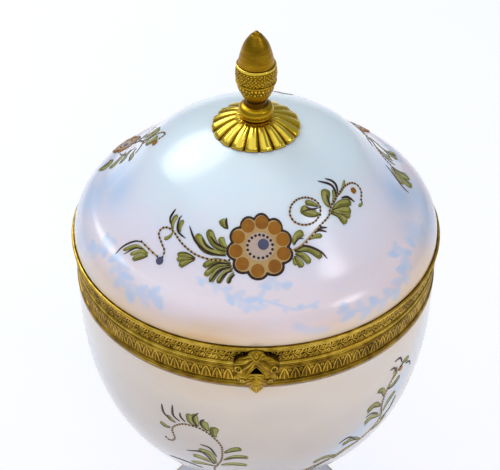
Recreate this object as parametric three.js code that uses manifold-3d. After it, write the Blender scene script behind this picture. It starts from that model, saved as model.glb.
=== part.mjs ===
// An opaline glass box on a foot. Two gilt rims, hinged at the back, hold the domed lid and the bowl.
// Millimetres, +Z up. The origin is the centre of the foot's underside, and the clasp faces -Y.
import * as THREE from 'three';
import { mergeVertices } from 'three/addons/utils/BufferGeometryUtils.js';
import Module from 'manifold-3d';

const wasm = await Module();
wasm.setup();

// Facets round the axis, and along each curve
const turnSteps = 40;
const domeSteps = 3;
const bowlSteps = 9;
const stemSteps = 8;
const hollowSteps = 8;
const finialSides = 18;
const pinSides = 14;

// Points of an outline that are closer than this are one point
const joinGap = 0.01;

// Space left between two pieces that touch, and half of it on each side of the seam
const fitGap = 0.3;
const seamGap = 0.3;

// Gilt rims, with heights counted from the seam where the lid meets the body
const seamHeight = 153.5;
const rimRadius = 65;
const rimWall = 1.3;
const rimLedge = 1;
const lidRimHeight = 8.8;
const bodyRimHeight = 9.4;
const beadHeight = 1.5;
const beadProud = 0.25;
const bandRecess = 0.35;
const lipProud = 1.2;
const lipHeight = 0.9;
const coveHeight = 1.5;
const footBeadHeight = 2.5;
const footBeadProud = 0.3;
const bezelWall = 0.8;
const bezelRise = 2.6;
const bezelClearance = 0.6;

// Opaline glass
const glassWall = 4;
const bowlFloor = 5.5;
const domeProud = 0.1;
const domeTop = 52.4;
const crownCurve = 65.5;
const crownAngle = 31.5;
const shoulderCurve = 13;
const shoulderAngle = 66;
const shoulderCentre = 9;
const ogeeReach = 8.5;
const bowlProud = 0.2;
const bowlDepth = 85;
const bowlSideFullness = 2.3;
const bowlFloorFullness = 2.73;

// Stem and foot of the bowl, drawn in one with it
const stemTopRadius = 21;
const stemFilletWidth = 2.6;
const stemFilletDrop = 3.6;
const stemRadius = 10;
const stemWaistDrop = 16;
const flareStartWidth = 2.4;
const flareStartHeight = 22;
const flareWidth = 9;
const flareHeight = 13;
const footSlopeWidth = 13;
const footSlopeHeight = 4.2;
const footRadius = 42;
const footEdge = 3.4;
const footEdgeRound = 0.8;

// Acorn finial with its stud, fluted rosette and nut
const acornTip = 89;
const acornRadius = 6.15;
const cupRim = 76.4;
const cupRimRadius = 6.6;
const cupRadius = 7;
const cupBelly = 71.6;
const cupRound = 6.5;
const cupRoundHeight = 68;
const cupFoot = 5.1;
const cupFootHeight = 65;
const neckRadius = 3.4;
const neckHeight = 62;
const knopRadius = 6.1;
const knopTopRadius = 4.4;
const knopTop = 60.7;
const knopHeight = 4.5;
const knopSeatRadius = 5.2;
const studRadius = 2;
const studEnd = 2;
const nutHeight = 3;
const nutRadius = 4.4;
const petalCount = 18;
const petalSteps = 4;
const rosetteTurn = 4;
const rosetteRadius = 15.3;
const rosetteCollar = 5.6;
const rosetteSwell = 0.7;
const rosetteSheet = 0.6;
const petalCrown = 0.55;
const petalScallop = 0.7;

// Clasp at the front, cast in one with the lid's rim side, with a pierced keyhole
const claspDepth = 3.15;
const claspEdge = 1.3;
const claspRib = 0.22;
const claspRibs = 10;
const claspAcross = 40;
const claspRings = 4;
const claspCentre = 0.6;
const keyholeHalfWidth = 2.3;
const keyholeRise = 1.6;
const keyholeDrop = 1.5;

// Hinge at the back
const hingeWidth = 15;
const hingeMiddle = 5.2;
const leafThickness = 0.9;
const leafHeight = 6;
const knuckleRadius = 1.7;
const pinRadius = 0.9;
const pinHeadRadius = 1.4;
const pinHeadLength = 0.8;

// Sizes that follow from the ones above
const seamHalf = seamGap / 2;
const domeShoulderRadius = rimRadius + domeProud;
const bowlRadius = rimRadius + bowlProud;
const widestBead = rimRadius + Math.max(beadProud, footBeadProud);
const fittingSeat = Math.max(widestBead, bowlRadius) + fitGap;
const glassInRim = rimRadius - rimWall - fitGap;
const glassInside = glassInRim - glassWall;
const glassEdge = seamHalf + rimLedge + fitGap;
const bezelOuter = glassInside - bezelClearance;
const bezelInner = bezelOuter - bezelWall;
const ledgeInside = bezelOuter + fitGap;
const knopBottom = knopTop - knopHeight;
const collarTop = knopBottom - fitGap;
const hingeAxis = fittingSeat + knuckleRadius;
const crownInside = domeTop - glassWall;

const gilt = new THREE.MeshStandardMaterial({ color: 0xa0812f, roughness: 0.32, metalness: 1 });
const brightGilt = new THREE.MeshStandardMaterial({ color: 0xc79a2c, roughness: 0.22, metalness: 1 });
const opaline = new THREE.MeshStandardMaterial({ color: 0xdfe3ee, roughness: 0.12, metalness: 0 });

// Turns a polygon of [radius, height] round the Z axis into one closed body
function turned(outline, steps = turnSteps) {
  const points = outline.map(([radius, height]) => new THREE.Vector2(Math.max(radius, 0), height));
  const geometry = new THREE.LatheGeometry([...points, points[0].clone()], steps);
  geometry.rotateX(Math.PI / 2);
  return closedBody(geometry);
}

// Merges shared corners, drops facets of no area and turns every face outward
function closedBody(geometry) {
  geometry.deleteAttribute('normal');
  geometry.deleteAttribute('uv');
  const merged = mergeVertices(geometry, 1e-4);
  const index = Array.from(merged.index.array);
  const kept = [];
  for (let i = 0; i < index.length; i += 3) {
    const [a, b, c] = index.slice(i, i + 3);
    if (a !== b && b !== c && a !== c) kept.push(a, b, c);
  }
  if (signedVolume(merged.attributes.position, kept) < 0) kept.reverse();
  merged.setIndex(kept);
  merged.computeVertexNormals();
  return merged;
}

function signedVolume(position, index) {
  const corner = [new THREE.Vector3(), new THREE.Vector3(), new THREE.Vector3()];
  let sum = 0;
  for (let i = 0; i < index.length; i += 3) {
    corner.forEach((point, k) => point.fromBufferAttribute(position, index[i + k]));
    sum += corner[0].dot(corner[1].clone().cross(corner[2]));
  }
  return sum / 6;
}

function solid(geometry) {
  const body = closedBody(geometry);
  return new wasm.Manifold(new wasm.Mesh({
    numProp: 3,
    vertProperties: new Float32Array(body.attributes.position.array),
    triVerts: new Uint32Array(body.index.array),
  }));
}

function geometryOf(manifold) {
  const mesh = manifold.getMesh();
  const geometry = new THREE.BufferGeometry();
  geometry.setAttribute('position', new THREE.BufferAttribute(new Float32Array(mesh.vertProperties), 3));
  geometry.setIndex(Array.from(mesh.triVerts));
  geometry.computeVertexNormals();
  return geometry;
}

function named(name, geometry, material) {
  const mesh = new THREE.Mesh(geometry, material);
  mesh.name = name;
  return mesh;
}

const degrees = (angle) => THREE.MathUtils.degToRad(angle);

// Moves each point of an outline sideways by a wall's thickness, towards the inside of the glass
function insetOutline(points, wall) {
  return points.map(([radius, height], i) => {
    const [r0, h0] = points[Math.max(i - 1, 0)];
    const [r1, h1] = points[Math.min(i + 1, points.length - 1)];
    const length = Math.hypot(r1 - r0, h1 - h0);
    return [radius + (h1 - h0) / length * wall, height - (r1 - r0) / length * wall];
  });
}

// The dome's outside from the stud's hole to the rim: a crown, a hollow and a full shoulder
function domeOutline() {
  const path = new THREE.Path();
  const shoulderX = domeShoulderRadius - shoulderCurve;
  const holeAngle = Math.asin((studRadius + fitGap) / crownCurve);
  const rimAngle = Math.asin((lidRimHeight + fitGap - shoulderCentre) / shoulderCurve);
  const crown = degrees(crownAngle);
  const shoulder = degrees(shoulderAngle);
  const hollowStart = [crownCurve * Math.sin(crown), domeTop - crownCurve * (1 - Math.cos(crown))];
  const hollowEnd = [
    shoulderX + shoulderCurve * Math.cos(shoulder),
    shoulderCentre + shoulderCurve * Math.sin(shoulder),
  ];
  path.absarc(0, domeTop - crownCurve, crownCurve, Math.PI / 2 - holeAngle, Math.PI / 2 - crown, true);
  path.bezierCurveTo(
    hollowStart[0] + ogeeReach * Math.cos(crown),
    hollowStart[1] - ogeeReach * Math.sin(crown),
    hollowEnd[0] - ogeeReach * Math.sin(shoulder),
    hollowEnd[1] + ogeeReach * Math.cos(shoulder),
    hollowEnd[0],
    hollowEnd[1],
  );
  path.absarc(shoulderX, shoulderCentre, shoulderCurve, shoulder, rimAngle, true);
  return path.getPoints(domeSteps)
    .filter((point, i, all) => i === 0 || point.distanceTo(all[i - 1]) > joinGap)
    .map((point) => [point.x, point.y]);
}

function lidGlass() {
  const outside = domeOutline();
  const inside = insetOutline(outside, glassWall).map(([radius, height], i) => (
    i === 0 ? [studRadius + fitGap, crownInside] : [radius, height]
  ));
  const rimInside = inside.length - 1;
  inside[rimInside] = [glassInside, Math.min(inside[rimInside][1], lidRimHeight)];
  return turned([
    ...outside,
    [glassInRim, lidRimHeight + fitGap],
    [glassInRim, glassEdge],
    [glassInside, glassEdge],
    ...inside.reverse(),
  ]);
}

// A bulged profile that is vertical at the rim and flat at the floor
function bulge(radius, depth, startHeight, steps, endRadius) {
  const endAngle = Math.acos((endRadius / radius) ** (bowlSideFullness / 2));
  const points = [];
  for (let i = 0; i <= steps; i += 1) {
    const angle = endAngle * i / steps;
    const across = Math.cos(angle) ** (2 / bowlSideFullness);
    const down = Math.sin(angle) ** (2 / bowlFloorFullness);
    points.push([radius * across, startHeight - depth * down]);
  }
  return points;
}

// The bowl, its waisted stem and its spreading foot are one piece of glass
function bowlGlass() {
  const shoulder = -(bodyRimHeight + fitGap);
  const outside = bulge(bowlRadius, bowlDepth, shoulder, bowlSteps, stemTopRadius);
  const bowlBottom = shoulder - bowlDepth;
  const table = -seamHeight;
  const edgeTop = table + footEdge;
  const stemLine = new THREE.SplineCurve([
    new THREE.Vector2(stemTopRadius, outside[outside.length - 1][1]),
    new THREE.Vector2(stemRadius + stemFilletWidth, bowlBottom - stemFilletDrop),
    new THREE.Vector2(stemRadius, bowlBottom - stemWaistDrop),
    new THREE.Vector2(stemRadius + flareStartWidth, edgeTop + flareStartHeight),
    new THREE.Vector2(stemRadius + flareWidth, edgeTop + flareHeight),
    new THREE.Vector2(footRadius - footSlopeWidth, edgeTop + footSlopeHeight),
    new THREE.Vector2(footRadius - footEdgeRound, edgeTop),
  ]).getSpacedPoints(stemSteps).slice(1).map((point) => [point.x, point.y]);
  const inside = bulge(glassInside, bowlDepth - bowlFloor, shoulder, hollowSteps, 0);
  return turned([
    [glassInside, -glassEdge],
    [glassInRim, -glassEdge],
    [glassInRim, shoulder],
    ...outside,
    ...stemLine,
    [footRadius, edgeTop - footEdgeRound],
    [footRadius, table + footEdgeRound],
    [footRadius - footEdgeRound, table],
    [0, table],
    ...inside.reverse(),
  ]);
}

// The lid's rim: a rolled bead at the seam, a band for the chased pattern and a lip round the glass
function lidRim() {
  const band = rimRadius - bandRecess;
  const lip = rimRadius + lipProud;
  const bead = rimRadius + beadProud;
  return turned([
    [rimRadius - 0.2, seamHalf],
    [bead, seamHalf + beadHeight * 0.25],
    [bead, seamHalf + beadHeight * 0.75],
    [band, seamHalf + beadHeight],
    [band, lidRimHeight - lipHeight - coveHeight],
    [lip, lidRimHeight - lipHeight],
    [lip, lidRimHeight - lipHeight * 0.3],
    [lip - lipHeight * 0.3, lidRimHeight],
    [rimRadius - rimWall, lidRimHeight],
    [rimRadius - rimWall, seamHalf + rimLedge],
    [ledgeInside, seamHalf + rimLedge],
    [ledgeInside, seamHalf],
  ]);
}

// The body's rim: a bead at the seam, a band, a heavier foot bead, and a bezel that centres the lid
function bodyRim() {
  const band = rimRadius - bandRecess;
  const bead = rimRadius + beadProud;
  const footBead = rimRadius + footBeadProud;
  const footBeadTop = footBeadHeight - bodyRimHeight;
  return turned([
    [rimRadius - 0.2, -seamHalf],
    [bead, -seamHalf - beadHeight * 0.25],
    [bead, -seamHalf - beadHeight * 0.75],
    [band, -seamHalf - beadHeight],
    [band, footBeadTop],
    [footBead, footBeadTop - footBeadHeight * 0.25],
    [footBead, footBeadTop - footBeadHeight * 0.75],
    [rimRadius - 0.2, -bodyRimHeight],
    [rimRadius - rimWall, -bodyRimHeight],
    [rimRadius - rimWall, -seamHalf - rimLedge],
    [bezelInner, -seamHalf - rimLedge],
    [bezelInner, bezelRise],
    [bezelOuter, bezelRise],
    [bezelOuter, -seamHalf],
  ]);
}

// The acorn in its cup, on a neck and a cushion knop, with the stud that holds it to the lid
function finial() {
  const nutLine = new THREE.SplineCurve([
    new THREE.Vector2(0, acornTip),
    new THREE.Vector2(acornRadius * 0.34, acornTip - 1.7),
    new THREE.Vector2(acornRadius * 0.7, acornTip - 5),
    new THREE.Vector2(acornRadius * 0.92, acornTip - 9.4),
    new THREE.Vector2(acornRadius, cupRim),
  ]).getSpacedPoints(6).map((point) => [point.x, point.y]);
  const cupLine = new THREE.SplineCurve([
    new THREE.Vector2(cupRimRadius, cupRim),
    new THREE.Vector2(cupRadius, cupBelly),
    new THREE.Vector2(cupRound, cupRoundHeight),
    new THREE.Vector2(cupFoot, cupFootHeight),
    new THREE.Vector2(neckRadius, neckHeight),
  ]).getSpacedPoints(7).map((point) => [point.x, point.y]);
  const knopLine = new THREE.SplineCurve([
    new THREE.Vector2(knopTopRadius, knopTop),
    new THREE.Vector2(knopRadius, knopBottom + knopHeight / 2),
    new THREE.Vector2(knopSeatRadius, knopBottom),
  ]).getSpacedPoints(5).map((point) => [point.x, point.y]);
  return turned([
    ...nutLine,
    ...cupLine,
    ...knopLine,
    [studRadius, knopBottom],
    [studRadius, crownInside - fitGap - nutHeight - studEnd],
    [0, crownInside - fitGap - nutHeight - studEnd],
  ], finialSides);
}

function finialNut() {
  const top = crownInside - fitGap;
  return turned([
    [studRadius + seamHalf, top],
    [nutRadius, top],
    [nutRadius, top - nutHeight],
    [studRadius + seamHalf, top - nutHeight],
  ], pinSides);
}

// The rosette is a pressed sheet: each petal is a rounded ridge with a scalloped end
function finialRosette() {
  const around = petalCount * petalSteps;
  const crownDrop = (radius) => crownCurve - Math.sqrt(crownCurve ** 2 - radius ** 2);
  const seatHeight = domeTop - crownDrop(rosetteRadius) + fitGap;
  const collarHeight = collarTop - rosetteSheet;
  const middleHeight = (collarTop + seatHeight + rosetteSheet) / 2 + rosetteSwell;
  const rows = [
    { radius: studRadius + fitGap, height: collarTop, wave: 0, scallop: 0 },
    { radius: rosetteCollar, height: collarTop, wave: 0, scallop: 0 },
    { radius: (rosetteCollar + rosetteRadius) / 2, height: middleHeight, wave: 0.8 },
    { radius: rosetteRadius, height: seatHeight + rosetteSheet, wave: 1, scallop: 1 },
    { radius: rosetteRadius, height: seatHeight, wave: 1, scallop: 1 },
    { radius: rosetteCollar, height: collarHeight, wave: 0, scallop: 0 },
    { radius: studRadius + fitGap, height: collarHeight, wave: 0, scallop: 0 },
  ];
  const positions = [];
  const index = [];
  rows.forEach((row, r) => {
    for (let k = 0; k < around; k += 1) {
      const angle = 2 * Math.PI * k / around - Math.PI / 2 + degrees(rosetteTurn);
      const ridge = Math.sqrt(Math.abs(Math.cos(Math.PI * k / petalSteps)));
      const radius = row.radius - (row.scallop ?? 0) * petalScallop * (1 - ridge);
      const height = row.height + row.wave * petalCrown * ridge;
      positions.push(radius * Math.cos(angle), radius * Math.sin(angle), height);
      const next = (k + 1) % around;
      const below = (r + 1) % rows.length;
      index.push(r * around + k, below * around + k, r * around + next);
      index.push(r * around + next, below * around + k, below * around + next);
    }
  });
  const geometry = new THREE.BufferGeometry();
  geometry.setAttribute('position', new THREE.Float32BufferAttribute(positions, 3));
  geometry.setIndex(index);
  return closedBody(geometry);
}

// The right half of the clasp's edge, from the pendant at the bottom to the peak: [across, up]
const claspHalfEdge = [
  [2.2, -8.9],
  [2.9, -6.6],
  [5.4, -5.8],
  [6.9, -3.6],
  [6.6, -1.4],
  [7.6, 1],
  [7.3, 4],
  [5.2, 5.9],
  [3.2, 6.6],
  [1.9, 8.4],
];
const claspTip = -10.6;
const claspPeak = 9.2;

// A cartouche that bulges between its edge and the keyhole, with soft ribs that run outward
function clasp() {
  const mirrored = claspHalfEdge.map(([across, up]) => [-across, up]).reverse();
  const edge = new THREE.CatmullRomCurve3(
    [[0, claspTip], ...claspHalfEdge, [0, claspPeak], ...mirrored]
      .map(([across, up]) => new THREE.Vector3(across, 0, up)),
    true,
  ).getSpacedPoints(claspAcross).slice(0, claspAcross);
  const positions = [];
  const index = [];
  const back = -(rimRadius - rimWall);
  const front = -(fittingSeat + claspDepth - claspEdge);
  const layers = claspRings + 2;
  for (let layer = 0; layer < layers; layer += 1) {
    const share = layer === layers - 1 ? 1 : Math.max(layer - 1, 0) / (claspRings - 1);
    edge.forEach((point) => {
      const angle = Math.atan2(point.z - claspCentre, point.x);
      const hole = keyholeEdge(angle);
      const x = THREE.MathUtils.lerp(hole[0], point.x, share);
      const z = THREE.MathUtils.lerp(hole[1], point.z, share);
      const swell = Math.sin(Math.PI * Math.min(share + 0.12, 1));
      const rib = claspRib * Math.cos(claspRibs * angle) * share;
      const atBack = layer === 0 || layer === layers - 1;
      positions.push(x, atBack ? back : front - claspEdge * swell - rib, z);
    });
  }
  for (let layer = 0; layer < layers; layer += 1) {
    const following = (layer + 1) % layers;
    for (let k = 0; k < claspAcross; k += 1) {
      const next = (k + 1) % claspAcross;
      index.push(layer * claspAcross + k, following * claspAcross + k, layer * claspAcross + next);
      index.push(layer * claspAcross + next, following * claspAcross + k, following * claspAcross + next);
    }
  }
  const geometry = new THREE.BufferGeometry();
  geometry.setAttribute('position', new THREE.Float32BufferAttribute(positions, 3));
  geometry.setIndex(index);
  return geometryOf(solid(geometry).subtract(solid(rimClearance())));
}

// The keyhole's edge seen from its middle: a triangle with its point up
function keyholeEdge(angle) {
  const corners = [[0, keyholeRise], [-keyholeHalfWidth, -keyholeDrop], [keyholeHalfWidth, -keyholeDrop]];
  const direction = [Math.cos(angle), Math.sin(angle)];
  let nearest = Infinity;
  corners.forEach(([x0, z0], i) => {
    const [x1, z1] = corners[(i + 1) % corners.length];
    const cross = direction[0] * (z1 - z0) - direction[1] * (x1 - x0);
    const reach = (x0 * (z1 - z0) - z0 * (x1 - x0)) / cross;
    if (reach > 0) nearest = Math.min(nearest, reach);
  });
  return [direction[0] * nearest, direction[1] * nearest + claspCentre];
}

// The space that the rims and their lip take from the back of the clasp
function rimClearance() {
  const lip = rimRadius + lipProud + fitGap;
  const lipBottom = lidRimHeight - lipHeight - coveHeight;
  return turned([
    [0, claspTip * 2],
    [fittingSeat, claspTip * 2],
    [fittingSeat, lipBottom],
    [lip, lidRimHeight - lipHeight - fitGap],
    [lip, claspPeak * 2],
    [0, claspPeak * 2],
  ]);
}

// A cylinder along X at the hinge's axis, from one place across to another
function hingeRod(radius, from, to) {
  const geometry = new THREE.CylinderGeometry(radius, radius, to - from, pinSides);
  geometry.rotateZ(Math.PI / 2);
  geometry.translate((from + to) / 2, hingeAxis, 0);
  return solid(geometry);
}

// One half of the hinge: a flat leaf on the rim and its own knuckles, notched for the other half's
function hingeLeaf(side, knuckles, notches) {
  const bottom = fitGap / 2;
  const plate = new THREE.BoxGeometry(hingeWidth, leafThickness, leafHeight - bottom);
  plate.translate(0, fittingSeat + leafThickness / 2, side * (bottom + leafHeight) / 2);
  let leaf = solid(plate);
  notches.forEach(([from, to]) => {
    leaf = leaf.subtract(hingeRod(knuckleRadius + fitGap, from - fitGap, to + fitGap));
  });
  knuckles.forEach(([from, to]) => {
    leaf = leaf.add(hingeRod(knuckleRadius, from, to));
  });
  return geometryOf(leaf.subtract(hingeRod(pinRadius + fitGap, -hingeWidth, hingeWidth)));
}

function hingePin() {
  const half = hingeWidth / 2 + fitGap;
  const geometry = turned([
    [0, -half - pinHeadLength],
    [pinHeadRadius * 0.7, -half - pinHeadLength],
    [pinHeadRadius, -half - pinHeadLength / 2],
    [pinHeadRadius, -half],
    [pinRadius, -half],
    [pinRadius, half],
    [pinHeadRadius, half],
    [pinHeadRadius, half + pinHeadLength / 2],
    [pinHeadRadius * 0.7, half + pinHeadLength],
    [0, half + pinHeadLength],
  ], pinSides);
  geometry.rotateY(Math.PI / 2);
  geometry.translate(0, hingeAxis, 0);
  return geometry;
}

const middleKnuckle = [[-hingeMiddle / 2, hingeMiddle / 2]];
const outerKnuckles = [
  [-hingeWidth / 2, -hingeMiddle / 2 - fitGap],
  [hingeMiddle / 2 + fitGap, hingeWidth / 2],
];

const base = new THREE.Group();
base.add(
  named('bowl_glass', bowlGlass(), opaline),
  named('body_rim', bodyRim(), gilt),
  named('body_hinge_leaf', hingeLeaf(-1, outerKnuckles, middleKnuckle), gilt),
  named('hinge_pin', hingePin(), gilt),
);

const lid = new THREE.Group();
lid.add(
  named('lid_glass', lidGlass(), opaline),
  named('lid_rim', lidRim(), gilt),
  named('lid_hinge_leaf', hingeLeaf(1, middleKnuckle, outerKnuckles), gilt),
  named('clasp', clasp(), gilt),
  named('finial', finial(), brightGilt),
  named('finial_rosette', finialRosette(), brightGilt),
  named('finial_nut', finialNut(), gilt),
);

const box = new THREE.Group();
box.add(base, lid);
base.position.z = seamHeight;
lid.position.z = seamHeight;

export default box;
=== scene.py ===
# An opaline glass box on a foot, with chased gilt rims, a clasp, an acorn finial and painted sprays.
# Shapes are worked out in millimetres, with heights counted from the seam between the lid and the bowl.
import math
import random

import bpy
import numpy as np
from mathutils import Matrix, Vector


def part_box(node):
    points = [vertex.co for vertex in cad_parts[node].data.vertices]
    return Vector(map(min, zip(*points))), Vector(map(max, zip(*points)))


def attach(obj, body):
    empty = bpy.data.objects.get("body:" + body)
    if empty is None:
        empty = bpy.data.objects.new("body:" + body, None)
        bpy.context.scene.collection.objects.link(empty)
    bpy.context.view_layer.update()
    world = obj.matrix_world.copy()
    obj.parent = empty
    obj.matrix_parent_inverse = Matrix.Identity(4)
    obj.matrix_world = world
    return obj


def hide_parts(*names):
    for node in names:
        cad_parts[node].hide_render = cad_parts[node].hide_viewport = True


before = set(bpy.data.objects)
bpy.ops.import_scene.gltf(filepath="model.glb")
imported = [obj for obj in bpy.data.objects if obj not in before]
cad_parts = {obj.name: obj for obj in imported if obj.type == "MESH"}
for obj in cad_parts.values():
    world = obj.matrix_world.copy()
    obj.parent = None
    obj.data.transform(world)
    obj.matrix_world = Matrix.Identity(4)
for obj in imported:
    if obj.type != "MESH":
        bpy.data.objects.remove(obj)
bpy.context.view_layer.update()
random.seed(7)

MM = 0.001
TAU = 2 * math.pi

# Places taken from the frame
pin_low, pin_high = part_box("hinge_pin")
SEAM = (pin_low[2] + pin_high[2]) / 2 / MM
HINGE_Y = (pin_low[1] + pin_high[1]) / 2 / MM
LIP_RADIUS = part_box("lid_rim")[1][0] / MM
BOWL_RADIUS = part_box("bowl_glass")[1][0] / MM
TABLE = -SEAM

# Gilt rims
LIP_PROUD = 1.2
RIM_RADIUS = LIP_RADIUS - LIP_PROUD
RIM_WALL = 1.3
RIM_LEDGE = 1.0
LID_RIM_HEIGHT = 8.8
BODY_RIM_HEIGHT = 9.4
BEAD_HEIGHT = 1.5
BAND_RECESS = 0.35
FOOT_BEAD_HEIGHT = 2.5
FOOT_BEAD_PROUD = 0.3
BEZEL_WALL = 0.8
BEZEL_RISE = 2.6
BEZEL_CLEARANCE = 0.6
FIT_GAP = 0.3
SEAM_HALF = 0.15
LID_REPEATS = 96
BODY_REPEATS = 108
REPEAT_COLUMNS = 12
LID_BAND_TOP = 6.4
BODY_LEAF_HEIGHT = 4.7
DIRT_PATCHES = 64

# Glass
GLASS_WALL = 4.0
BOWL_FLOOR = 5.5
GLASS_IN_RIM = RIM_RADIUS - RIM_WALL - FIT_GAP
GLASS_INSIDE = GLASS_IN_RIM - GLASS_WALL
GLASS_EDGE = SEAM_HALF + RIM_LEDGE + FIT_GAP
BOWL_SHOULDER = -(BODY_RIM_HEIGHT + FIT_GAP)
DOME_SHOULDER_RADIUS = RIM_RADIUS + 0.1
DOME_TOP = 52.4
CROWN_CURVE = 65.5
CROWN_ANGLE = math.radians(31.5)
SHOULDER_CURVE = 13.0
SHOULDER_ANGLE = math.radians(66)
SHOULDER_CENTRE = 9.0
OGEE_REACH = 8.5
BOWL_DEPTH = 85.0
BOWL_SIDE_FULLNESS = 2.3
BOWL_FLOOR_FULLNESS = 2.73
STEM_TOP_RADIUS = 21.0
STEM_RADIUS = 10.0
FOOT_RADIUS = 42.0
FOOT_EDGE = 3.4
FOOT_EDGE_ROUND = 0.8
LID_GLASS_STEPS = 540
BOWL_GLASS_STEPS = 360
OUTSIDE_STEPS = (56, 46, 36)
INSIDE_STEPS = (12, 8, 8)
DRAWING_STEPS = (60, 40, 60)
PAINTED_STEPS = (200, 120, 200)

# Finial
ACORN_TIP = 89.0
ACORN_RADIUS = 6.15
CUP_RIM = 76.4
CUP_RIM_RADIUS = 6.6
CUP_RADIUS = 7.0
CUP_BELLY = 73.4
CUP_LINE = 70.6
CUP_FOOT = 5.1
CUP_FOOT_HEIGHT = 65.0
NECK_RADIUS = 3.4
NECK_HEIGHT = 62.0
KNOP_TOP = 60.7
KNOP_HEIGHT = 4.5
KNOP_RADIUS = 6.1
STUD_RADIUS = 2.0
STUD_END = 2.0
NUT_HEIGHT = 3.0
NUT_RADIUS = 4.4
PETAL_COUNT = 18
PETAL_COLUMNS = 24
ROSETTE_TURN = math.radians(4)
ROSETTE_RADIUS = 15.3
ROSETTE_COLLAR = 5.6
ROSETTE_SHEET = 0.6
# Painted shade and highlight of the finial's parts, from light at 0 to dark at 1: a painted highlight on
# the cup's lip, painted shade in the grooves, the neck and under the rosette, and the acorn darkened all
# over
ACORN_SHADE = 0.63
ACORN_SEAT_SHADE = 0.74
CUP_LIP_SHADE = 0.10
CUP_GROOVE_SHADE = 0.80
NECK_SHADE = 0.86
KNOP_GROOVE_SHADE = 0.95
ROSETTE_UNDER_SHADE = 0.8
PEBBLE_COUNT = 34
PEBBLE_COLUMNS = 8
PEBBLE_ROWS = 7
UNDER_PEBBLE_STEPS = 9

# Clasp
CLASP_SEAT = RIM_RADIUS + FOOT_BEAD_PROUD + FIT_GAP
CLASP_DEPTH = 3.15
CLASP_EDGE = 1.3
CLASP_TIP = -10.6
CLASP_PEAK = 9.2
CLASP_HALF_EDGE = [
    (2.2, -8.9), (2.9, -6.6), (5.4, -5.8), (6.9, -3.6), (6.6, -1.4),
    (7.6, 1.0), (7.3, 4.0), (5.2, 5.9), (3.2, 6.6), (1.9, 8.4),
]
CLASP_CENTRE = 0.6
KEYHOLE = [(0.0, 1.6), (-2.3, -1.5), (2.3, -1.5)]

# Hinge
HINGE_WIDTH = 15.0
HINGE_MIDDLE = 5.2
LEAF_THICKNESS = 0.9
LEAF_HEIGHT = 6.0
LEAF_CORNER = 1.1
LEAF_START = 0.15
RIVET_RADIUS = 0.85
RIVET_ACROSS = 4.6
RIVET_HEIGHT = 4.1
KNUCKLE_RADIUS = 1.65
PIN_RADIUS = 0.9
PIN_HEAD_RADIUS = 1.4
PIN_HEAD_LENGTH = 0.8

# Painted shadows of the sprays in the lid's glass, pale blue, in a flat drawing under each spray's flower.
# Leafy ones:
# strength, width, number of leaves and their reach, then the x and y of each point. Plain ones: strength,
# width and points.
PAINTED_SHADE_STRENGTH = 0.62
LEAFY_PAINTED_SHADOWS = (
    (1.0, 1.7, 11, 3.2, -42.8, -18.0, -38.7, -22.6, -33.3, -25.6, -25.2, -23.1),
    (1.0, 1.4, 6, 2.6, -8.8, -16.4, -4.8, -17.6, -1.1, -20.8),
    (0.8, 1.2, 4, 1.9, -17.7, -12.6, -13.3, -13.4, -8.9, -15.5),
    (0.9, 1.5, 4, 1.7, 0.0, -12.9, 3.4, -11.8, 7.0, -14.2),
    (1.0, 1.0, 5, 1.4, -1.3, -16.8, 4.2, -19.6, 8.6, -21.9, 14.0, -20.9),
    (1.0, 1.5, 7, 2.0, 39.8, -17.2, 43.6, -18.4, 42.9, -22.6, 39.4, -25.6),
    (1.0, 1.6, 11, 2.8, 41.6, -24.0, 35.0, -28.0, 26.3, -28.6, 18.5, -26.0),
)
PLAIN_PAINTED_SHADOWS = (
    (0.7, 0.9, -0.3, -16.6, 1.0, -14.0, 2.0, -13.0),
    (0.5, 1.8, 8.0, -27.3, 10.6, -29.6, 14.2, -30.5),
)
# Broad blue bands of painted reflection at the lid's sides: x and y of the middle, width, height and
# strength
LID_PAINTED_REFLECTIONS = (
    (-66.0, -6.0, 9.0, 9.0, 0.66), (-70.0, -20.0, 9.0, 9.0, 0.60), (-58.0, -27.0, 7.0, 5.0, 0.45),
    (-50.0, -33.0, 5.0, 3.0, 0.40), (63.0, -9.0, 8.0, 10.0, 0.76), (52.5, -20.0, 4.5, 6.0, 0.50),
    (62.0, -26.0, 8.0, 8.0, 0.60),
)
# Painted shadows of the sprays on the bowl's glass, as blue patches: turn, height, width, height of the
# patch, lean and strength
BOWL_PAINTED_SHADOWS = (
    (-0.66, -36, 13, 5, 0.7, 0.55), (-0.95, -50, 14, 5, 0.5, 0.48), (-0.42, -22, 8, 6, 0.9, 0.42),
    (-2.75, -30, 10, 7, -0.8, 0.34), (1.2, -32, 12, 6, 0.6, 0.4), (2.4, -45, 12, 5, -0.5, 0.36),
)

# Painted sprays: where each one's flower sits, as a turn round the axis and a distance down the glass
LID_SPRAY_TURN = math.radians(-88.4)
LID_SPRAY_DOWN = 49.1
SIDE_SPRAY_TURNS = (math.radians(-127), math.radians(135))
SIDE_SPRAY_DOWN = 54.7
BOWL_SPRAY_TURNS = (math.radians(-90), math.radians(32), math.radians(122))
FLOWER_LOBES = 10
FLOWER_LEAN = math.radians(13)
LEAF_FULLNESS = 1.3
SIDE_LEAF_FULLNESS = 1.75
PAINT_LIFT = 0.05
STROKE_STEP = 0.6
STEM_WIDTH = 0.62
STEM_BEAD = 0.40
BEAD_PITCH = 1.3
BEAD_SIDE = -0.42
LEAF_EDGE_WIDTH = 0.42
EDGED_LEAF_WIDTH = 2.4
LOBE_CENTRE = 8.0
LOBE_RADIUS = 3.1
PETAL_CENTRE = 7.9
PETAL_RADIUS = 2.3
HEART_RADIUS = 4.9
HEART_DOTS = 17
HEART_DOT_RADIUS = 0.52
DOT_RING = (4.15, 3.8)
EYE_RADIUS = 1.93
EYE_OFFSET = (1.1, 0.7)
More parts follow.
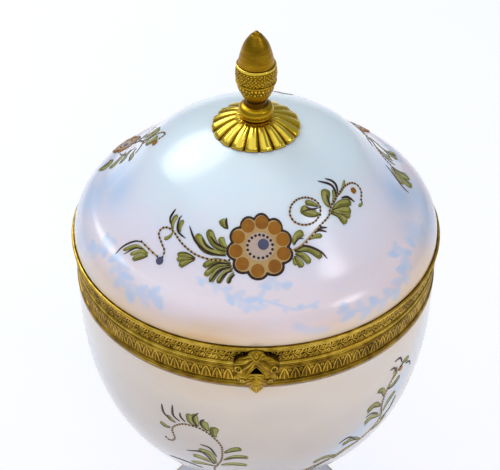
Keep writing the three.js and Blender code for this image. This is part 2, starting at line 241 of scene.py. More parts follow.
FLOWER_EDGE_RINGS = (0.8, 0.6, 0.4, 0.2)

# Studio
CAMERA_PLACE = (-2.07, -421.4, 501.3)
CAMERA_AIM = (-2.07, 0.0, 156.4)
LENS = 108.0
SENSOR = 36.0
FLOOR_HALF = 3.0
LIGHTS_AIM = 20.0
ROOM_COLOUR = (0.84, 0.92, 1.0)
ROOM_STRENGTH = 0.34
# Each light: azimuth and elevation in degrees, distance, width and height in metres, watts, colour,
# shape, and whether it is seen in the gloss
LIGHTS = (
    ("window_left", 136, 42, 1.3, 0.20, 0.20, 0.55, (0.95, 0.98, 1.0), "DISK", True),
    ("window_glow", 130, 44, 1.32, 0.85, 0.85, 7.0, (0.90, 0.96, 1.0), "DISK", True),
    ("overhead", -118, 73, 1.5, 2.4, 1.9, 7.6, (0.90, 0.95, 1.0), "ELLIPSE", True),
    ("lamp_right", -28, 40, 1.2, 0.34, 0.34, 1.3, (1.0, 0.95, 0.95), "DISK", True),
    ("fill_front", -86, 28, 1.6, 0.9, 0.7, 5.5, (1.0, 0.94, 0.90), "RECTANGLE", False),
)


# Meshes
def grid_faces(ids, wrap_rows, wrap_columns):
    """Four-sided faces over a grid of point numbers, as triangles where two corners are one point."""
    if wrap_rows:
        ids = np.vstack([ids, ids[:1]])
    if wrap_columns:
        ids = np.hstack([ids, ids[:, :1]])
    corners = [ids[:-1, :-1], ids[1:, :-1], ids[1:, 1:], ids[:-1, 1:]]
    quads = np.stack(corners, axis=-1).reshape(-1, 4)
    same = (quads == np.roll(quads, 1, axis=1)).any(axis=1)
    faces = quads[~same].tolist()
    for quad in quads[same].tolist():
        kept = list(dict.fromkeys(quad))
        if len(kept) == 3:
            faces.append(kept)
    return faces


def signed_volume(points, faces):
    total = 0.0
    for size in (3, 4):
        some = np.array([face for face in faces if len(face) == size])
        for k in range(2, size if len(some) else 0):
            a, b, c = (points[some[:, i]] for i in (0, k - 1, k))
            total += np.einsum("ij,ij->i", a, np.cross(b, c)).sum()
    return total


def new_piece(name, points, faces, materials, body, slot, crease=40, which=None, **shades):
    """Makes a piece from points in millimetres above the seam. Shades are one number for each point."""
    points = np.asarray(points, float)
    if body and signed_volume(points, faces) < 0:
        faces = [face[::-1] for face in faces]
    mesh = bpy.data.meshes.new(name)
    placed = (points + (0, 0, SEAM)) * MM
    mesh.from_pydata(placed.tolist(), [], faces)
    for material in materials:
        mesh.materials.append(material)
    if which is not None:
        mesh.polygons.foreach_set("material_index", np.asarray(which, np.int32))
    for shade, values in shades.items():
        layer = mesh.attributes.new(shade, "FLOAT", "POINT")
        layer.data.foreach_set("value", np.asarray(values, np.float32).ravel())
    mesh.shade_smooth()
    mesh.set_sharp_from_angle(angle=math.radians(crease))
    mesh.update()
    piece = bpy.data.objects.new(name, mesh)
    bpy.context.scene.collection.objects.link(piece)
    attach(piece, body)
    return piece


def ring_faces(rows, columns, closed=True):
    """Faces between rings of points that are numbered one ring after another."""
    return grid_faces(np.arange(rows * columns).reshape(rows, columns), closed, True)


def turns(steps):
    """Even turns all the way round."""
    return TAU * np.arange(steps) / steps


def length_along(points):
    """The length of a line of points up to each of them."""
    return np.r_[0, np.cumsum(np.linalg.norm(np.diff(points, axis=0), axis=1))]


def polar(radius, turn, height):
    """Points at a radius and a turn round the axis, and a height."""
    return np.stack([radius * np.cos(turn), radius * np.sin(turn), height], axis=-1)


def turn_outline(outline, steps, relief=None):
    """Points of an outline of (radius, height) turned round the axis, with an outward relief."""
    outline = np.asarray(outline, float)
    angle = turns(steps) - math.pi / 2
    radius = np.repeat(outline[:, :1], steps, axis=1)
    if relief is not None:
        radius = radius + relief
    height = np.repeat(outline[:, 1:2], steps, axis=1)
    return polar(radius, angle, height)


def turned_piece(name, outline, steps, materials, body, slot, relief=None, crease=40, **shades):
    """A closed outline, or one that starts and ends on the axis, turned into one solid."""
    outline = np.asarray(outline, float)
    points = turn_outline(outline, steps, relief)
    rows = len(outline)
    ids = np.arange(rows * steps).reshape(rows, steps)
    on_axis = outline[:, 0] < 1e-6
    ids[on_axis] = ids[on_axis, :1]
    faces = grid_faces(ids, not on_axis.any(), True)
    used = np.unique(ids)
    number = np.full(rows * steps, -1)
    number[used] = np.arange(len(used))
    faces = [[int(number[i]) for i in face] for face in faces] if on_axis.any() else faces
    shades = {key: np.asarray(value).reshape(-1)[used] for key, value in shades.items()}
    flat = points.reshape(-1, 3)[used]
    return new_piece(name, flat, faces, materials, body, slot, crease, **shades)


def arc(centre, radius, start, end, steps):
    angle = np.radians(np.linspace(start, end, steps))
    return [(centre[0] + radius * math.cos(a), centre[1] + radius * math.sin(a)) for a in angle]


def smooth_curve(points, steps, closed=False):
    """Points at even steps along a Catmull-Rom curve."""
    points = np.asarray(points, float)
    if closed:
        padded = np.vstack([points[-1:], points, points[:2]])
    else:
        first = 2 * points[:1] - points[1:2]
        last = 2 * points[-1:] - points[-2:-1]
        padded = np.vstack([first, points, last])
    dense = []
    for p0, p1, p2, p3 in zip(padded, padded[1:], padded[2:], padded[3:]):
        for t in np.linspace(0, 1, 24, endpoint=False):
            a = 2 * p1 + (p2 - p0) * t
            b = (2 * p0 - 5 * p1 + 4 * p2 - p3) * t * t
            c = (3 * p1 - p0 - 3 * p2 + p3) * t ** 3
            dense.append((a + b + c) / 2)
    dense.append(points[0] if closed else points[-1])
    return resample(np.array(dense), steps, closed)


def resample(points, steps, closed=False):
    points = np.asarray(points, float)
    reach = length_along(points)
    where = np.linspace(0, reach[-1], steps, endpoint=not closed)
    return np.stack([np.interp(where, reach, points[:, k]) for k in range(points.shape[1])], axis=-1)


def pairs(numbers):
    """Numbers taken two by two, as points."""
    return list(zip(numbers[::2], numbers[1::2]))


def bump(distance, width):
    """A rounded ridge: 1 at its middle and 0 one width away."""
    share = np.clip(1 - (distance / width) ** 2, 0, 1)
    return share * share * (3 - 2 * share)


def ridge(x, y, stroke, height, width):
    """A raised straight stroke, given as the x and y of its two ends."""
    return height * bump(segment_distance(x, y, stroke[:2], stroke[2:]), width)


def segment_distance(x, y, start, end):
    """Distance of each point from a straight stroke."""
    dx, dy = end[0] - start[0], end[1] - start[1]
    t = np.clip(((x - start[0]) * dx + (y - start[1]) * dy) / (dx * dx + dy * dy), 0, 1)
    return np.hypot(x - start[0] - t * dx, y - start[1] - t * dy)


def hollows(height, reach, gain):
    """How much lower each point of a relief is than what is round it, from 0 to 1."""
    blurred = height.copy()
    for _ in range(reach):
        across = (np.roll(blurred, 1, axis=1) + np.roll(blurred, -1, axis=1)) / 2
        padded = np.vstack([blurred[:1], blurred, blurred[-1:]])
        along = (padded[:-2] + padded[2:]) / 2
        blurred = (blurred + across + along) / 3
    return np.clip((blurred - height) * gain, -1, 1) * 0.5 + 0.5


# Materials
def new_material(name):
    material = bpy.data.materials.new(name)
    material.use_nodes = True
    return material, material.node_tree, material.node_tree.nodes["Principled BSDF"]


def fill(tree, made, inputs):
    """Fills a node's sockets, given by name or number, each with a value or with another socket."""
    for socket, value in inputs.items():
        if isinstance(value, bpy.types.NodeSocket):
            tree.links.new(value, made.inputs[socket])
        else:
            made.inputs[socket].default_value = value
    return made


def node(tree, kind, inputs=None, **settings):
    made = tree.nodes.new(kind)
    for key, value in settings.items():
        setattr(made, key, value)
    return fill(tree, made, inputs or {})


def ramp(tree, factor, stops):
    made = node(tree, "ShaderNodeValToRGB", {0: factor})
    band = made.color_ramp
    while len(band.elements) < len(stops):
        band.elements.new(0.5)
    for element, (place, colour) in zip(band.elements, stops):
        element.position = place
        element.color = (*colour, 1.0)
    return made.outputs["Color"]


def noise(tree, scale, detail=3.0, roughness=0.5, stretch=(1, 1, 1)):
    where = node(tree, "ShaderNodeTexCoord").outputs["Object"]
    stretched = node(tree, "ShaderNodeMapping", {"Vector": where, "Scale": stretch}).outputs[0]
    made = node(
        tree, "ShaderNodeTexNoise",
        {"Vector": stretched, "Scale": scale, "Detail": detail, "Roughness": roughness},
    )
    return made.outputs[0]


def shade_of(tree, name):
    return node(tree, "ShaderNodeAttribute", attribute_name=name).outputs["Fac"]


def maths(tree, operation, a, b):
    return node(tree, "ShaderNodeMath", {0: a, 1: b}, operation=operation).outputs[0]


def remap(tree, value, low, high, to_low, to_high):
    made = node(
        tree, "ShaderNodeMapRange",
        {"Value": value, "From Min": low, "From Max": high, "To Min": to_low, "To Max": to_high},
    )
    return made.outputs[0]


def mixed(tree, factor, a, b):
    made = node(tree, "ShaderNodeMix", data_type="RGBA")
    a, b = (end if isinstance(end, bpy.types.NodeSocket) else (*end, 1.0) for end in (a, b))
    return fill(tree, made, {0: factor, 6: a, 7: b}).outputs[2]


def bumps(tree, height, strength, distance):
    inputs = {"Height": height, "Strength": strength, "Distance": distance}
    return node(tree, "ShaderNodeBump", inputs).outputs[0]


def height_between(tree, low, high):
    """0 at one height above the seam and 1 at another, in millimetres."""
    where = node(tree, "ShaderNodeTexCoord").outputs["Object"]
    up = node(tree, "ShaderNodeSeparateXYZ", {0: where}).outputs["Z"]
    return remap(tree, up, (low + SEAM) * MM, (high + SEAM) * MM, 0.0, 1.0)


def opaline_material(name, low, high, stops):
    """Milky glass whose colour by height is partly its own tint and partly painted light, with cloudy
    drifts and blue painted shade.
    """
    material, tree, shader = new_material(name)
    clouds = noise(tree, 26, 3.0, 0.5, (1, 1, 1.6))
    uneven = remap(tree, clouds, 0.3, 0.7, -0.06, 0.06)
    body = ramp(tree, maths(tree, "ADD", height_between(tree, low, high), uneven), stops)
    drift = remap(tree, noise(tree, 11, 2.0), 0.35, 0.7, 0.0, 0.30)
    body = mixed(tree, drift, body, (0.74, 0.80, 0.95))
    ripple = noise(tree, 60, 2.0, 0.4)
    fill(tree, shader, {
        # Blue painted shadows and reflections mixed into the glass's colour
        "Base Color": mixed(tree, shade_of(tree, "wisp"), body, (0.40, 0.61, 0.89)),
        "Subsurface Weight": 0.65,
        "Subsurface Radius": (1.0, 0.75, 0.6),
        "Subsurface Scale": 0.0025,
        "IOR": 1.5,
        "Coat Weight": 0.6,
        "Coat Roughness": 0.21,
        "Roughness": remap(tree, ripple, 0.3, 0.7, 0.15, 0.22),
        "Normal": bumps(tree, ripple, 0.05, 0.0004),
    })
    return material


def gilt_material(name, bright, mid, dark, roughness, brushed=(1, 1, 1), blotch=0.22):
    """Gilt brass: darker and duller in the hollows as painted shade with some dirt, lighter on the ridges
    as painted highlight and rubbed wear.
    """
    material, tree, shader = new_material(name)
    patches = noise(tree, 240, 4.0, 0.6, brushed)
    tone = maths(tree, "ADD", shade_of(tree, "hollow"), remap(tree, patches, 0.25, 0.75, -blotch, blotch))
    # The darkest colour, for the deepest painted shade and dirt
    dirt = tuple(c * 0.22 for c in dark)
    grain = noise(tree, 1500, 3.0, 0.6, brushed)
    fill(tree, shader, {
        "Base Color": ramp(tree, tone, [(0.12, bright), (0.45, mid), (0.74, dark), (0.96, dirt)]),
        "Metallic": 1.0,
        "Roughness": remap(tree, tone, 0.1, 1.0, roughness, roughness + 0.30),
        "Normal": bumps(tree, grain, 0.22, 0.00008),
    })
    return material


def paint_material(name, light, dark):
    """Enamel colour laid on by brush, streaky between a lighter and a darker tone."""
    material, tree, shader = new_material(name)
    streaks = noise(tree, 420, 3.0, 0.6)
    tone = maths(tree, "ADD", remap(tree, streaks, 0.3, 0.7, 0.0, 0.7), shade_of(tree, "tone"))
    fill(tree, shader, {
        "Base Color": mixed(tree, maths(tree, "MINIMUM", tone, 1.0), light, dark),
        "Specular IOR Level": 0.25,
        "Roughness": remap(tree, streaks, 0.3, 0.7, 0.28, 0.44),
        "Normal": bumps(tree, streaks, 0.25, 0.00006),
    })
    return material


# Painted light in the lid's colour by height, over its own opal tint: bluer towards the crown where light
# falls from above, and amber just above the rim as a painted reflection of the gilt rim
LID_GLASS = opaline_material(
    "opaline_lid", 0, DOME_TOP,
    [
        (0.0, (0.78, 0.46, 0.15)), (0.17, (0.76, 0.44, 0.14)), (0.225, (0.79, 0.57, 0.36)),
        (0.34, (0.86, 0.71, 0.72)), (0.60, (0.86, 0.82, 0.93)), (0.84, (0.77, 0.88, 1.0)),
        (1.0, (0.80, 0.90, 1.0)),
    ],
)
# Painted light in the bowl's colour by height: darker on the underside as painted shade, and amber next to
# the seam as a painted reflection of the gilt rim
BOWL_GLASS = opaline_material(
    "opaline_bowl", TABLE, 0,
    [
        (0.0, (0.58, 0.57, 0.64)), (0.36, (0.42, 0.41, 0.43)), (0.52, (0.42, 0.39, 0.38)),
        (0.72, (0.57, 0.50, 0.45)), (0.90, (0.73, 0.63, 0.53)), (1.0, (0.74, 0.56, 0.38)),
    ],
)
GILT = gilt_material("gilt_rim", (0.90, 0.61, 0.10), (0.46, 0.28, 0.020), (0.16, 0.080, 0.006), 0.24)
BRIGHT_GILT = gilt_material(
    "gilt_bright", (0.95, 0.69, 0.08), (0.60, 0.36, 0.014), (0.22, 0.10, 0.006), 0.19,
    brushed=(1, 1, 5), blotch=0.09,
)
SATIN_GILT = gilt_material(
    "gilt_satin", (0.85, 0.60, 0.12), (0.62, 0.40, 0.06), (0.30, 0.16, 0.02), 0.30, brushed=(9, 9, 1),
)
PAINTS = [
    paint_material("enamel_" + name, light, dark)
    for name, light, dark in (
        ("leaf", (0.22, 0.205, 0.028), (0.10, 0.095, 0.014)),
        ("leaf_light", (0.36, 0.35, 0.10), (0.24, 0.23, 0.05)),
        ("line", (0.05, 0.022, 0.014), (0.02, 0.012, 0.010)),
        ("ochre", (0.34, 0.13, 0.006), (0.22, 0.075, 0.003)),
        ("tan", (0.50, 0.33, 0.13), (0.42, 0.25, 0.09)),
        ("cream", (0.54, 0.41, 0.35), (0.45, 0.33, 0.27)),
        ("blue", (0.085, 0.09, 0.16), (0.055, 0.06, 0.11)),
    )
]
LEAF, PALE_LEAF, LINE, OCHRE, TAN, CREAM, BLUE = range(len(PAINTS))


# Glass
def dome_line(steps):
    """The dome's outside from the middle of the crown to the rim: crown, hollow, full shoulder.

    The steps are a number of points for each of the three.
    """
    shoulder_x = DOME_SHOULDER_RADIUS - SHOULDER_CURVE
    crown = arc((0, DOME_TOP - CROWN_CURVE), CROWN_CURVE, 90, 90 - math.degrees(CROWN_ANGLE), steps[0])
    rim_angle = math.asin((LID_RIM_HEIGHT + FIT_GAP - SHOULDER_CENTRE) / SHOULDER_CURVE)
    shoulder = arc(
        (shoulder_x, SHOULDER_CENTRE), SHOULDER_CURVE,
        math.degrees(SHOULDER_ANGLE), math.degrees(rim_angle), steps[2],
    )
    start, end = np.array(crown[-1]), np.array(shoulder[0])
    near_start = start + OGEE_REACH * np.array([math.cos(CROWN_ANGLE), -math.sin(CROWN_ANGLE)])
    near_end = end + OGEE_REACH * np.array([-math.sin(SHOULDER_ANGLE), math.cos(SHOULDER_ANGLE)])
    t = np.linspace(0, 1, steps[1])[1:-1, None]
    hollow = (1 - t) ** 3 * start + 3 * (1 - t) ** 2 * t * near_start
    hollow = hollow + 3 * (1 - t) * t * t * near_end + t ** 3 * end
    return np.vstack([crown, hollow, shoulder])


def bulge(radius, depth, start, end_radius, steps):
    """A full profile, upright at the rim and flat at the floor."""
    last = math.acos((end_radius / radius) ** (BOWL_SIDE_FULLNESS / 2))
    angle = np.linspace(0, last, steps)
    across = np.cos(angle) ** (2 / BOWL_SIDE_FULLNESS)
    down = np.sin(angle) ** (2 / BOWL_FLOOR_FULLNESS)
    return np.stack([radius * across, start - depth * down], axis=-1)


def inset(line, wall):
    """A line moved in by the wall's thickness, square to itself."""
    ahead = np.vstack([line[1:], line[-1:]])
    behind = np.vstack([line[:1], line[:-1]])
    along = ahead - behind
    along /= np.linalg.norm(along, axis=1, keepdims=True)
    return line + np.stack([along[:, 1], -along[:, 0]], axis=-1) * wall


def signed_turn(turn):
    """A turn brought between half a turn back and half a turn ahead."""
    return np.mod(turn + math.pi, TAU) - math.pi


def patch(turn, height, centre_turn, centre_height, wide, tall, tilt):
    """A soft patch on the glass, wide and tall in millimetres, leaning by the tilt."""
    across = signed_turn(turn - centre_turn) * RIM_RADIUS
    up = height - centre_height
    x = (across * math.cos(tilt) + up * math.sin(tilt)) / wide
    y = (-across * math.sin(tilt) + up * math.cos(tilt)) / tall
    return np.exp(-(x * x + y * y))


def path_mark(x, y, path, width):
    """1 on a path and 0 a width away from it, for places x, y."""
    away = np.full(x.shape, 1e3)
    path = smooth_curve(path, 14)
    for start, end in zip(path, path[1:]):
        away = np.minimum(away, segment_distance(x, y, start, end))
    return bump(away, width)


def leafy_marks(x, y, path, width, leaves, reach):
    """A faint line with small pointed leaves standing off it on both sides in turn."""
    mark = 0.7 * path_mark(x, y, path, width * 0.7)
    path = smooth_curve(path, 40)
    last = len(path) - 1
    for k in range(leaves):
        at = int((k + 0.5) / leaves * last)
        ahead = path[min(at + 1, last)] - path[max(at - 1, 0)]
        ahead = ahead / max(np.hypot(*ahead), 1e-6)
        side = np.array([-ahead[1], ahead[0]]) * (1 if k % 2 else -1)
        lean = side + ahead * (0.6 + 0.3 * math.sin(3.0 * k))
        strength = 0.75 + 0.25 * math.cos(2.0 * k)
        for share, thick in ((0.35, 1.25), (0.7, 1.0), (1.0, 0.55)):
            tip = path[at] + lean * reach * share
            away = np.hypot(x - tip[0], y - tip[1])
            mark = np.maximum(mark, strength * bump(away, width * thick))
    return mark


def lid_wisps(turn, down):
    """Painted shade in the lid's glass: pale blue shadows of each spray's leaves, and broad blue painted
    reflections.
    """
    reference = np.interp(LID_SPRAY_DOWN, *lid_scale())
    total = np.zeros(np.broadcast(turn, down).shape)

    def place(about):
        away = signed_turn(turn - LID_SPRAY_TURN - about)
        return away * reference + 0 * down, LID_SPRAY_DOWN - down + 0 * away

    for k in range(3):
        x, y = place(k * TAU / 3)
        marks = [
            strength * leafy_marks(x, y, pairs(path), width, leaves, reach)
            for strength, width, leaves, reach, *path in LEAFY_PAINTED_SHADOWS
        ]
        marks += [strength * path_mark(x, y, pairs(path), width) for strength, width, *path in PLAIN_PAINTED_SHADOWS]
        for mark in marks:
            total = np.maximum(total, PAINTED_SHADE_STRENGTH * mark)
    for about in (0, math.pi):
        x, y = place(about)
        for centre_x, centre_y, wide, tall, strength in LID_PAINTED_REFLECTIONS:
            drift = np.exp(-((x - centre_x) / wide) ** 2 - ((y - centre_y) / tall) ** 2)
            total = np.maximum(total, strength * drift)
    return total


def lid_scale():
    """The distance down the dome's outside and the radius there."""
    line = dome_line(DRAWING_STEPS)
    return length_along(line), line[:, 0]


def bowl_wisps(turn, height):
    """Soft blue patches of painted shadow on the bowl's glass."""
    total = np.zeros(np.broadcast(turn, height).shape)
    for *place, strength in BOWL_PAINTED_SHADOWS:
        total = np.maximum(total, strength * patch(turn, height, *place))
    return total


def outside_of_hole(line, hole):
    """The part of the dome's line outside the finial's hole, with a point at the hole's edge."""
    line = line[line[:, 0] > hole]
    return np.vstack([[(hole, DOME_TOP - hole * hole / 2 / CROWN_CURVE)], line])


def make_lid_glass():
    hole = STUD_RADIUS + FIT_GAP
    outside = outside_of_hole(dome_line(OUTSIDE_STEPS), hole)
    inside = inset(outside_of_hole(dome_line(INSIDE_STEPS), hole), GLASS_WALL)
    inside[0] = (hole, DOME_TOP - GLASS_WALL)
    inside[-1] = (GLASS_INSIDE, min(inside[-1][1], LID_RIM_HEIGHT))
    step = [
        (GLASS_IN_RIM + 0.4, LID_RIM_HEIGHT + FIT_GAP), (GLASS_IN_RIM, LID_RIM_HEIGHT + FIT_GAP - 0.3),
        (GLASS_IN_RIM, GLASS_EDGE + 0.5), (GLASS_IN_RIM - 0.5, GLASS_EDGE),
        (GLASS_INSIDE + 0.5, GLASS_EDGE), (GLASS_INSIDE, GLASS_EDGE + 0.5),
    ]
    outline = np.vstack([outside, step, inside[::-1]])
    turn = (turns(LID_GLASS_STEPS) - math.pi / 2)[None, :]
    down = length_along(outside) + hole
    # Painted shade, on the outside of the dome only
    wisp = np.zeros((len(outline), LID_GLASS_STEPS))
    wisp[:len(outside)] = lid_wisps(turn, down[:, None])
    piece = turned_piece(
        "lid_dome", outline, LID_GLASS_STEPS, [LID_GLASS], "lid", "opaline", crease=50, wisp=wisp,
    )
    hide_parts("lid_glass")


def stem_line():
    """The waisted stem and the spreading foot, from the bowl's underside to the foot's edge."""
    bottom = BOWL_SHOULDER - BOWL_DEPTH
    edge_top = TABLE + FOOT_EDGE
    underside = bulge(BOWL_RADIUS, BOWL_DEPTH, BOWL_SHOULDER, STEM_TOP_RADIUS, 4)[-1]
    return smooth_curve([
        tuple(underside),
        (STEM_RADIUS + 2.6, bottom - 3.6),
        (STEM_RADIUS, bottom - 16),
        (STEM_RADIUS + 2.4, edge_top + 22),
        (STEM_RADIUS + 9, edge_top + 13),
        (FOOT_RADIUS - 13, edge_top + 4.2),
        (FOOT_RADIUS - FOOT_EDGE_ROUND, edge_top),
    ], 40)


def make_bowl_glass():
    edge_top = TABLE + FOOT_EDGE
    round_x = FOOT_RADIUS - FOOT_EDGE_ROUND
    outside = bulge(BOWL_RADIUS, BOWL_DEPTH, BOWL_SHOULDER, STEM_TOP_RADIUS, 64)
    edge = arc((round_x, edge_top - FOOT_EDGE_ROUND), FOOT_EDGE_ROUND, 75, 0, 5)
    edge += arc((round_x, TABLE + FOOT_EDGE_ROUND), FOOT_EDGE_ROUND, 0, -90, 6)
    inside = bulge(GLASS_INSIDE, BOWL_DEPTH - BOWL_FLOOR, BOWL_SHOULDER, 0.0, 32)
    inside[-1][0] = 0.0
    outline = np.vstack([
        [(GLASS_INSIDE, -GLASS_EDGE - 0.5), (GLASS_INSIDE + 0.5, -GLASS_EDGE)],
        [(GLASS_IN_RIM - 0.5, -GLASS_EDGE), (GLASS_IN_RIM, -GLASS_EDGE - 0.5)],
        [(GLASS_IN_RIM, BOWL_SHOULDER + 0.3), (GLASS_IN_RIM + 0.4, BOWL_SHOULDER)],
        outside, stem_line()[1:-1], edge, [(20, TABLE), (0, TABLE)], inside[::-1],
    ])
    # The underside and the hollow both meet the axis, so they are turned as one open line
    start = int(np.argmin(np.hypot(outline[:, 0], outline[:, 1] - TABLE)))
    outline = np.vstack([outline[start + 1:], outline[:start + 1]])
    turn = (turns(BOWL_GLASS_STEPS) - math.pi / 2)[None, :]
    # Painted shadows of the sprays, kept off the underside near the axis
    wisp = bowl_wisps(turn, outline[:, 1:2])
    wisp[outline[:, 0] < BOWL_RADIUS * 0.5] = 0
    piece = turned_piece(
        "bowl_and_foot", outline, BOWL_GLASS_STEPS, [BOWL_GLASS], "base", "opaline",
        crease=50, wisp=wisp,
    )
    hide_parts("bowl_glass")


def make_foot_gilding():
    """A worn gold line round the foot's edge."""
    centre = (FOOT_RADIUS - FOOT_EDGE_ROUND, TABLE + FOOT_EDGE - FOOT_EDGE_ROUND)
    outer = arc(centre, FOOT_EDGE_ROUND + 0.05, 100, 5, 9)
    inner = arc(centre, FOOT_EDGE_ROUND - 0.1, 5, 100, 5)
    steps = 240
    wear = np.random.default_rng(3).uniform(0.35, 0.75, (len(outer) + len(inner), steps))
    turned_piece(
        "foot_gilding", outer + inner, steps, [SATIN_GILT], "base", "gilt_bright", hollow=wear,
    )


# Gilt rims
def lid_pattern(x, y):
    """One repeat of the lid's chased band: a waving stem with pairs of small curved leaves."""
    pitch = TAU * RIM_RADIUS / LID_REPEATS
    stem = 2.35 + 0.85 * np.sin(TAU * x / pitch)
    relief = 0.24 * bump(y - stem, 0.34)
    strokes = (
        (-1.95, 3.0, -1.15, 4.15), (-1.35, 2.6, -0.45, 3.95), (-0.75, 2.5, 0.30, 3.55),
        (-0.20, 2.9, 0.95, 4.20), (0.10, 1.9, -0.85, 0.75), (0.75, 1.8, -0.10, 0.55),
        (1.35, 2.1, 0.60, 0.75), (1.85, 1.5, 1.35, 0.50), (1.55, 3.2, 2.05, 4.25),
    )
    for stroke in strokes:
        relief = np.maximum(relief, ridge(x, y, stroke, 0.30, 0.36))
    pits = bump(np.hypot(x - 1.25, y - 3.75), 0.34) + bump(np.hypot(x + 1.45, y - 1.0), 0.34)
    return relief - 0.22 * pits


def body_pattern(x, y):
    """One repeat of the body's band: an upright pointed leaf, with a dot between two tips."""
    tall = BODY_LEAF_HEIGHT
    half = math.pi * RIM_RADIUS / BODY_REPEATS
    share = np.clip(y / tall, 0, 1)
    edge = half * 0.80 * (1 - share ** 1.7) ** 0.75
    relief = 0.26 * bump(np.abs(np.abs(x) - edge), 0.34) * (y < tall + 0.2)
    inside = (np.abs(x) < edge) * (y < tall)
    relief = np.maximum(relief, inside * (0.10 + 0.2 * bump(np.abs(x), 0.30) * (1 - share)))
    between = np.hypot(np.abs(x) - half, y - 3.9)
    relief = np.maximum(relief, 0.24 * bump(np.abs(between - 0.42), 0.22))
    relief = np.maximum(relief, 0.22 * bump(np.abs(y - 0.15), 0.28))
    return relief - 0.24 * bump(between, 0.34)


def rim_relief(outline, steps, repeats, low, high, pattern):
    """The chased relief over the rows of an outline that face out between two heights."""
    outline = np.asarray(outline)
    pitch = TAU * RIM_RADIUS / repeats
    x = (np.arange(steps) / steps * repeats % 1.0 - 0.5) * pitch
    relief = np.zeros((len(outline), steps))
    for row, (radius, height) in enumerate(outline):
        if low <= height <= high and radius > RIM_RADIUS - 1:
            fade = min(1.0, (height - low) / 0.25, (high - height) / 0.25)
            relief[row] = pattern(x, height - low) * max(fade, 0)
    return relief


def rim_dirt_and_shade(relief, outline, seed):
    """Painted shade of a rim, with some dirt: darker in the low places of the relief, over the chased band
    and in the crease of each moulding, with faint random dirt patches round it.
    """
    outline = np.asarray(outline)
    chased = np.abs(relief).max(axis=1, keepdims=True) > 0.02
    dark = hollows(relief, 3, 7.0) + 0.16 * chased
    ahead = np.roll(outline, -1, axis=0) - outline
    behind = outline - np.roll(outline, 1, axis=0)
    curl = ahead[:, 0] * behind[:, 1] - ahead[:, 1] * behind[:, 0]
    scale = np.linalg.norm(ahead, axis=1) * np.linalg.norm(behind, axis=1)
    crease = np.clip(curl / np.maximum(scale, 1e-6), -0.6, 0.6)
    dirt = np.random.default_rng(seed).uniform(-1, 1, DIRT_PATCHES)
    around = np.linspace(0, DIRT_PATCHES, relief.shape[1])
    drift = np.interp(around, np.arange(DIRT_PATCHES + 1), np.append(dirt, dirt[0]))
    return np.clip(dark + crease[:, None] * 0.35 + drift[None, :] * 0.05, 0, 1)


def bead_and_band(side, start, end, rows):
    """A rim's outline from the seam on: the bead, then the sunk band, up for 1 and down for -1."""
    band_radius = RIM_RADIUS - BAND_RECESS
    line = [(RIM_RADIUS - 0.25, side * SEAM_HALF)]
    line += arc((RIM_RADIUS - 0.35, side * (SEAM_HALF + 0.65)), 0.6, -75 * side, 75 * side, 8)
    line += [(band_radius - 0.1, start - side * 0.1)]
    line += [(band_radius, height) for height in np.linspace(start, end, rows)]
    return line + [(band_radius - 0.12, end + side * 0.08)]


def chased_rim(name, body, outline, repeats, low, high, pattern, seed):
    """A turned rim with its pattern repeated round the band between two heights."""
    steps = repeats * REPEAT_COLUMNS
    relief = rim_relief(outline, steps, repeats, low, high, pattern)
    dark = rim_dirt_and_shade(relief, outline, seed)
    return turned_piece(name, outline, steps, [GILT], body, "gilt_rim", relief, 50, hollow=dark)


def make_lid_rim():
    low, high, top = SEAM_HALF + BEAD_HEIGHT, LID_BAND_TOP, LID_RIM_HEIGHT
    ledge = SEAM_HALF + RIM_LEDGE
    outline = bead_and_band(1, low, high, 23)
    outline += arc((RIM_RADIUS + 0.02, high + 0.42), 0.30, -90, 60, 5)
    outline += [(RIM_RADIUS + 0.1, high + 0.78), (RIM_RADIUS + 0.45, high + 1.1)]
    outline += [(RIM_RADIUS + 0.72, high + 1.4)]
    outline += arc((RIM_RADIUS + 0.66, top - 0.52), 0.54, -40, 150, 8)
    outline += [(RIM_RADIUS - 0.15, top - 0.5), (RIM_RADIUS - 0.42, top - 0.3)]
    outline += arc((RIM_RADIUS - 0.68, top + 0.18), 0.24, -20, 180, 6)
    outline += [(RIM_RADIUS - RIM_WALL, top - 0.2), (RIM_RADIUS - RIM_WALL, ledge)]
    outline += [(GLASS_INSIDE - 0.3, ledge), (GLASS_INSIDE - 0.3, SEAM_HALF)]
    piece = chased_rim("lid_rim_chased", "lid", outline, LID_REPEATS, low, high, lid_pattern, 5)
    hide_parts("lid_rim")


def make_body_rim():
    high = -SEAM_HALF - BEAD_HEIGHT
    low = FOOT_BEAD_HEIGHT - BODY_RIM_HEIGHT + 0.1
    ledge = -SEAM_HALF - RIM_LEDGE
    bezel_outer = GLASS_INSIDE - BEZEL_CLEARANCE
    bezel_inner = bezel_outer - BEZEL_WALL
    outline = bead_and_band(-1, high, low, 25)
    outline += arc((RIM_RADIUS - 0.05, low - 0.42), 0.30, 90, -60, 5)
    outline += [(RIM_RADIUS - 0.1, low - 0.8)]
    outline += arc((RIM_RADIUS - 0.55, 0.95 - BODY_RIM_HEIGHT), 0.85, 50, -75, 8)
    outline += [(RIM_RADIUS - RIM_WALL, -BODY_RIM_HEIGHT), (RIM_RADIUS - RIM_WALL, ledge)]
    outline += [(bezel_inner, ledge), (bezel_inner, BEZEL_RISE - 0.2)]
    outline += [(bezel_inner + 0.2, BEZEL_RISE), (bezel_outer - 0.3, BEZEL_RISE)]
    outline += [(bezel_outer, BEZEL_RISE - 0.3), (bezel_outer, -SEAM_HALF)]
    piece = chased_rim("body_rim_chased", "base", outline, BODY_REPEATS, low, high, body_pattern, 9)
    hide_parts("body_rim")


